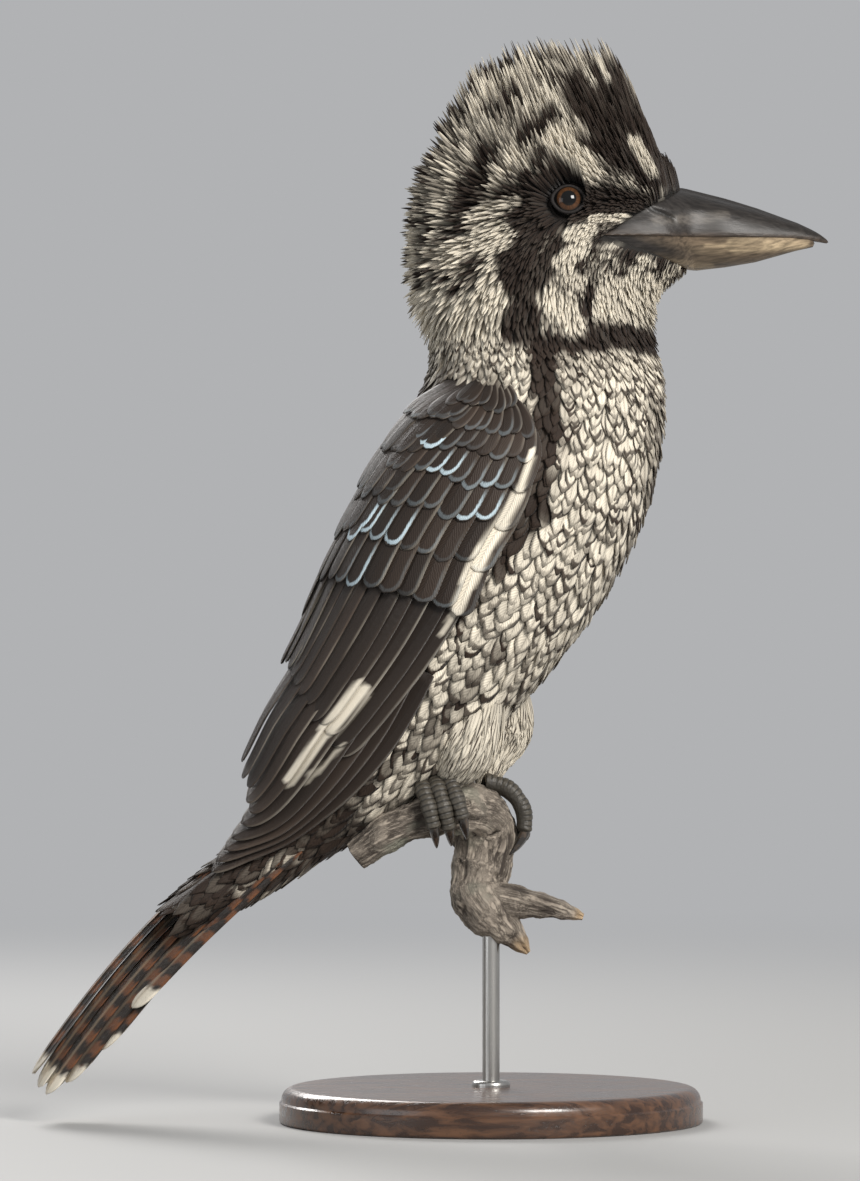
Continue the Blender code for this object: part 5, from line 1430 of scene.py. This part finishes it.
# The lower mandible's own pale horn towards the front, with painted highlight along the streaks of
# LOWER_STROKES.
pale_share = brushed(form, LOWER_STROKES, 0.22)[..., None]
lower_tone = HORN_BROWN + (HORN_PALE - HORN_BROWN) * pale_share * (1 - 0.5 * lip)
lower_tone = lower_tone + (HORN_BLACK - lower_tone) * by_gape * ramp(form[..., 2:], CHIN[1], CHIN[1] + 6.0)


def horn_finish(name, shine):
    """Horn: fine growth lines along the bill, cloudy lighter and darker places, and a satin gloss."""
    material, tree, shader = finish_of(name, 0.5, specular_ior_level=0.22, coat_weight=shine,
                                       coat_roughness=0.35)
    lines = noise(tree, stretched(tree, HORN_STRETCH, (0.0, BILL_SLOPE, 0.0)), 1.3, 4.0)
    patches = noise(tree, on_object(tree), 90.0, 3.0)
    shade = times(tree, faded(tree, lines, 0.28, 0.72, 0.55, 1.35), faded(tree, patches, 0.3, 0.7, 0.8, 1.15))
    link(tree, shader, "Base Color", shaded(tree, layer(tree, "tone"), shade))
    link(tree, shader, "Roughness", faded(tree, patches, 0.3, 0.7, *HORN_GLOSS))
    bumped(tree, shader, lines, 0.2, 0.8)
    return material


horn = horn_finish("horn", 0.15)
put("upper_mandible", rings_shell(upper, tone=upper_tone), horn, ["bill_upper"])
put("lower_mandible", rings_shell(lower, tone=lower_tone), horn, ["bill_lower"])


# Feet
# Short scaly shanks and strong toes, three forward and one back on each foot, wrap the branch. Wide scutes
# lie across the tops of the toes and small ones on their sides. A black curved claw is rooted in each end.
TOE_RADIUS = 3.1
TOE_SLIM = 0.15
TOE_TAPER, TOE_JOINT = 0.2, 0.08
TOE_AROUND, TOE_STATIONS = 24, 150
TOE_PAD = 0.35
SHANK_RADIUS, SHANK_FLARE, SHANK_RAISED = 2.5, 1.2, 5.0
SCUTE, GROOVE = 1.7, 0.22
CLAW_LENGTH, CLAW_SUNK = 9.6, 1.2
CLAW_BEND, CLAW_DROP = 3.0, 0.4
CLAW_RADIUS, CLAW_POINT = 1.75, 0.12
BEND_STEP = 13
FOOT_DARK = np.array([0.016, 0.014, 0.011])
FOOT_LIGHT = np.array([0.088, 0.076, 0.058])
FEET = {  # middle of the grip, along the branch, out from it, reach, and each toe's two offsets and turn
    RIGHT: (np.array([-17.0, -10.5, 105.8]), unit(np.array([1.0, 0.12, 0.25])),
            unit(np.array([0.12, -1.0, 0.0])), 7.9 + TOE_RADIUS,
            ((-4.6, -4.8, 112), (0.0, 0.2, 122), (4.6, 5.4, 108), (0.0, -2.0, -100))),
    LEFT: (np.array([-1.6, 9.5, 102.0]), np.array([0.0, 1.0, 0.0]), np.array([1.0, 0.0, 0.0]),
           10.2 + TOE_RADIUS, ((-4.8, -5.5, 106), (0.0, 0.0, 118), (4.8, 6.0, 104), (0.0, 0.0, -95))),
}


def toe_path(side, toe, t):
    """A toe's middle line: an arc round the branch from the top of the grip, sliding along it as it turns."""
    middle, along, out, reach, toes = FEET[side]
    up = np.cross(along, out)
    up = up * np.sign(up[2])
    start, end, turn = toes[toe]
    angle = np.radians(turn) * t
    ring = np.cos(angle)[:, None] * up + np.sin(angle)[:, None] * out
    return middle + ring * (reach - TOE_SLIM) + between((start, end), t)[:, None] * along


def scaly(path, radius, around, lean, scutes, pads=0.0):
    """A scaly limb: plates with narrow grooves between them lie across its upper side, and swell a little
    towards their far edge. Its sides are finely scaled, and its underside swells into three pads. Its colour
    holds painted shade in the grooves and on the sides, and painted light on the plates towards their far
    edge."""
    surface, spokes = tube(path, radius, around, lean)
    length = length_along(path)
    turn = round_turn(around)
    saw = np.mod(length / scutes, 1.0)[:, None]
    top = np.clip(np.cos(turn) * 1.4 + 0.2, 0, 1) ** 0.7
    plate = 1 - np.exp(-(np.minimum(saw, 1 - saw) * scutes / GROOVE) ** 2)
    under = np.clip(-np.cos(turn), 0, 1) * np.abs(np.sin(3 * math.pi * length / length[-1]))[:, None]
    swell = (0.20 * plate + 0.10 * saw) * top + pads * under
    # Painted light and shade: dark in the grooves and on the sides, lighter on the top plates' raised far
    # edges.
    shade = plate * (0.55 + 0.45 * saw) * top + (1 - top) * 0.35
    return rings_shell(surface + spokes * swell[..., None], tone=tinted(shade, FOOT_DARK, FOOT_LIGHT))


foot_finish, tree, shader = finish_of("foot_finish", 0.5)
scales = node(tree, "TexVoronoi", {"Vector": on_object(tree), "Scale": 900.0}).outputs[0]
link(tree, shader, "Base Color", shaded(tree, layer(tree, "tone"), faded(tree, scales, 0.0, 0.6, 1.08, 0.75)))
bumped(tree, shader, scales, 0.3, 0.5)
claw_finish, tree, shader = finish_of("claw_finish", 0.25, coat_weight=0.4, coat_roughness=0.12)
clouds = noise(tree, on_object(tree), 500.0)
link(tree, shader, "Base Color", mixed(tree, faded(tree, clouds, 0.45, 0.7), HORN_BLACK, HORN_BROWN))



def toe_of(side, toe):
    """A scaly toe that is thickest between its joints and rounded at its end, and the claw in it: a tapered
    tube that leaves the toe straight and bends as the square of the way along it."""
    t = np.linspace(0, 1, TOE_STATIONS)
    path = toe_path(side, toe, t)
    grip, along = FEET[side][:2]
    middle = grip + along * ((path - grip) @ along)[:, None]
    tangent = unit(np.gradient(path, axis=0))
    joints = 1 + TOE_JOINT * np.cos(6 * math.pi * t)
    end = np.sqrt(np.clip((1.03 - t) / 0.08, 0.15, 1))
    radius = (TOE_RADIUS - TOE_SLIM) * joints * (1 - TOE_TAPER * t) * end
    shell = scaly(path, radius, TOE_AROUND, square_to(unit(path - middle), tangent), SCUTE, TOE_PAD)
    ahead = tangent[-1]
    bend = unit(path[-1] - 2 * path[-1 - BEND_STEP] + path[-1 - 2 * BEND_STEP])
    t = np.linspace(0.0, 1.0, 26)[:, None]
    curve = path[-1] + ahead * (CLAW_LENGTH * t - CLAW_SUNK) + bend * CLAW_BEND * t**2 - bend * CLAW_DROP
    radius = CLAW_RADIUS * (1 - t[:, 0] ** 1.6) ** 0.8 + CLAW_POINT
    claw, spokes = tube(curve, radius, 18, tuple(square_to(-bend, ahead)))
    return shell, rings_shell(claw)


for side, name in SIDE_NAMES.items():
    t = np.linspace(0, 1, 40)[:, None]
    ends = LEGS[side][2] + (0.0, 0.0, SHANK_RAISED), toe_path(side, 1, np.array([0.0]))[0]
    radius = SHANK_RADIUS + SHANK_FLARE * t[:, 0] ** 2
    shells = [scaly(between(ends, t), radius, TOE_AROUND, FEET[side][2], SCUTE)]
    for toe in range(4):
        shell, claw = toe_of(side, toe)
        shells.append(shell)
        put("claw_%s_toe_%d" % (name, toe + 1), claw, claw_finish,
            ["claw_%s_%d" % (name, toe + 1)])
    put("scaly_foot_" + name, joined(shells), foot_finish, ["foot_" + name])
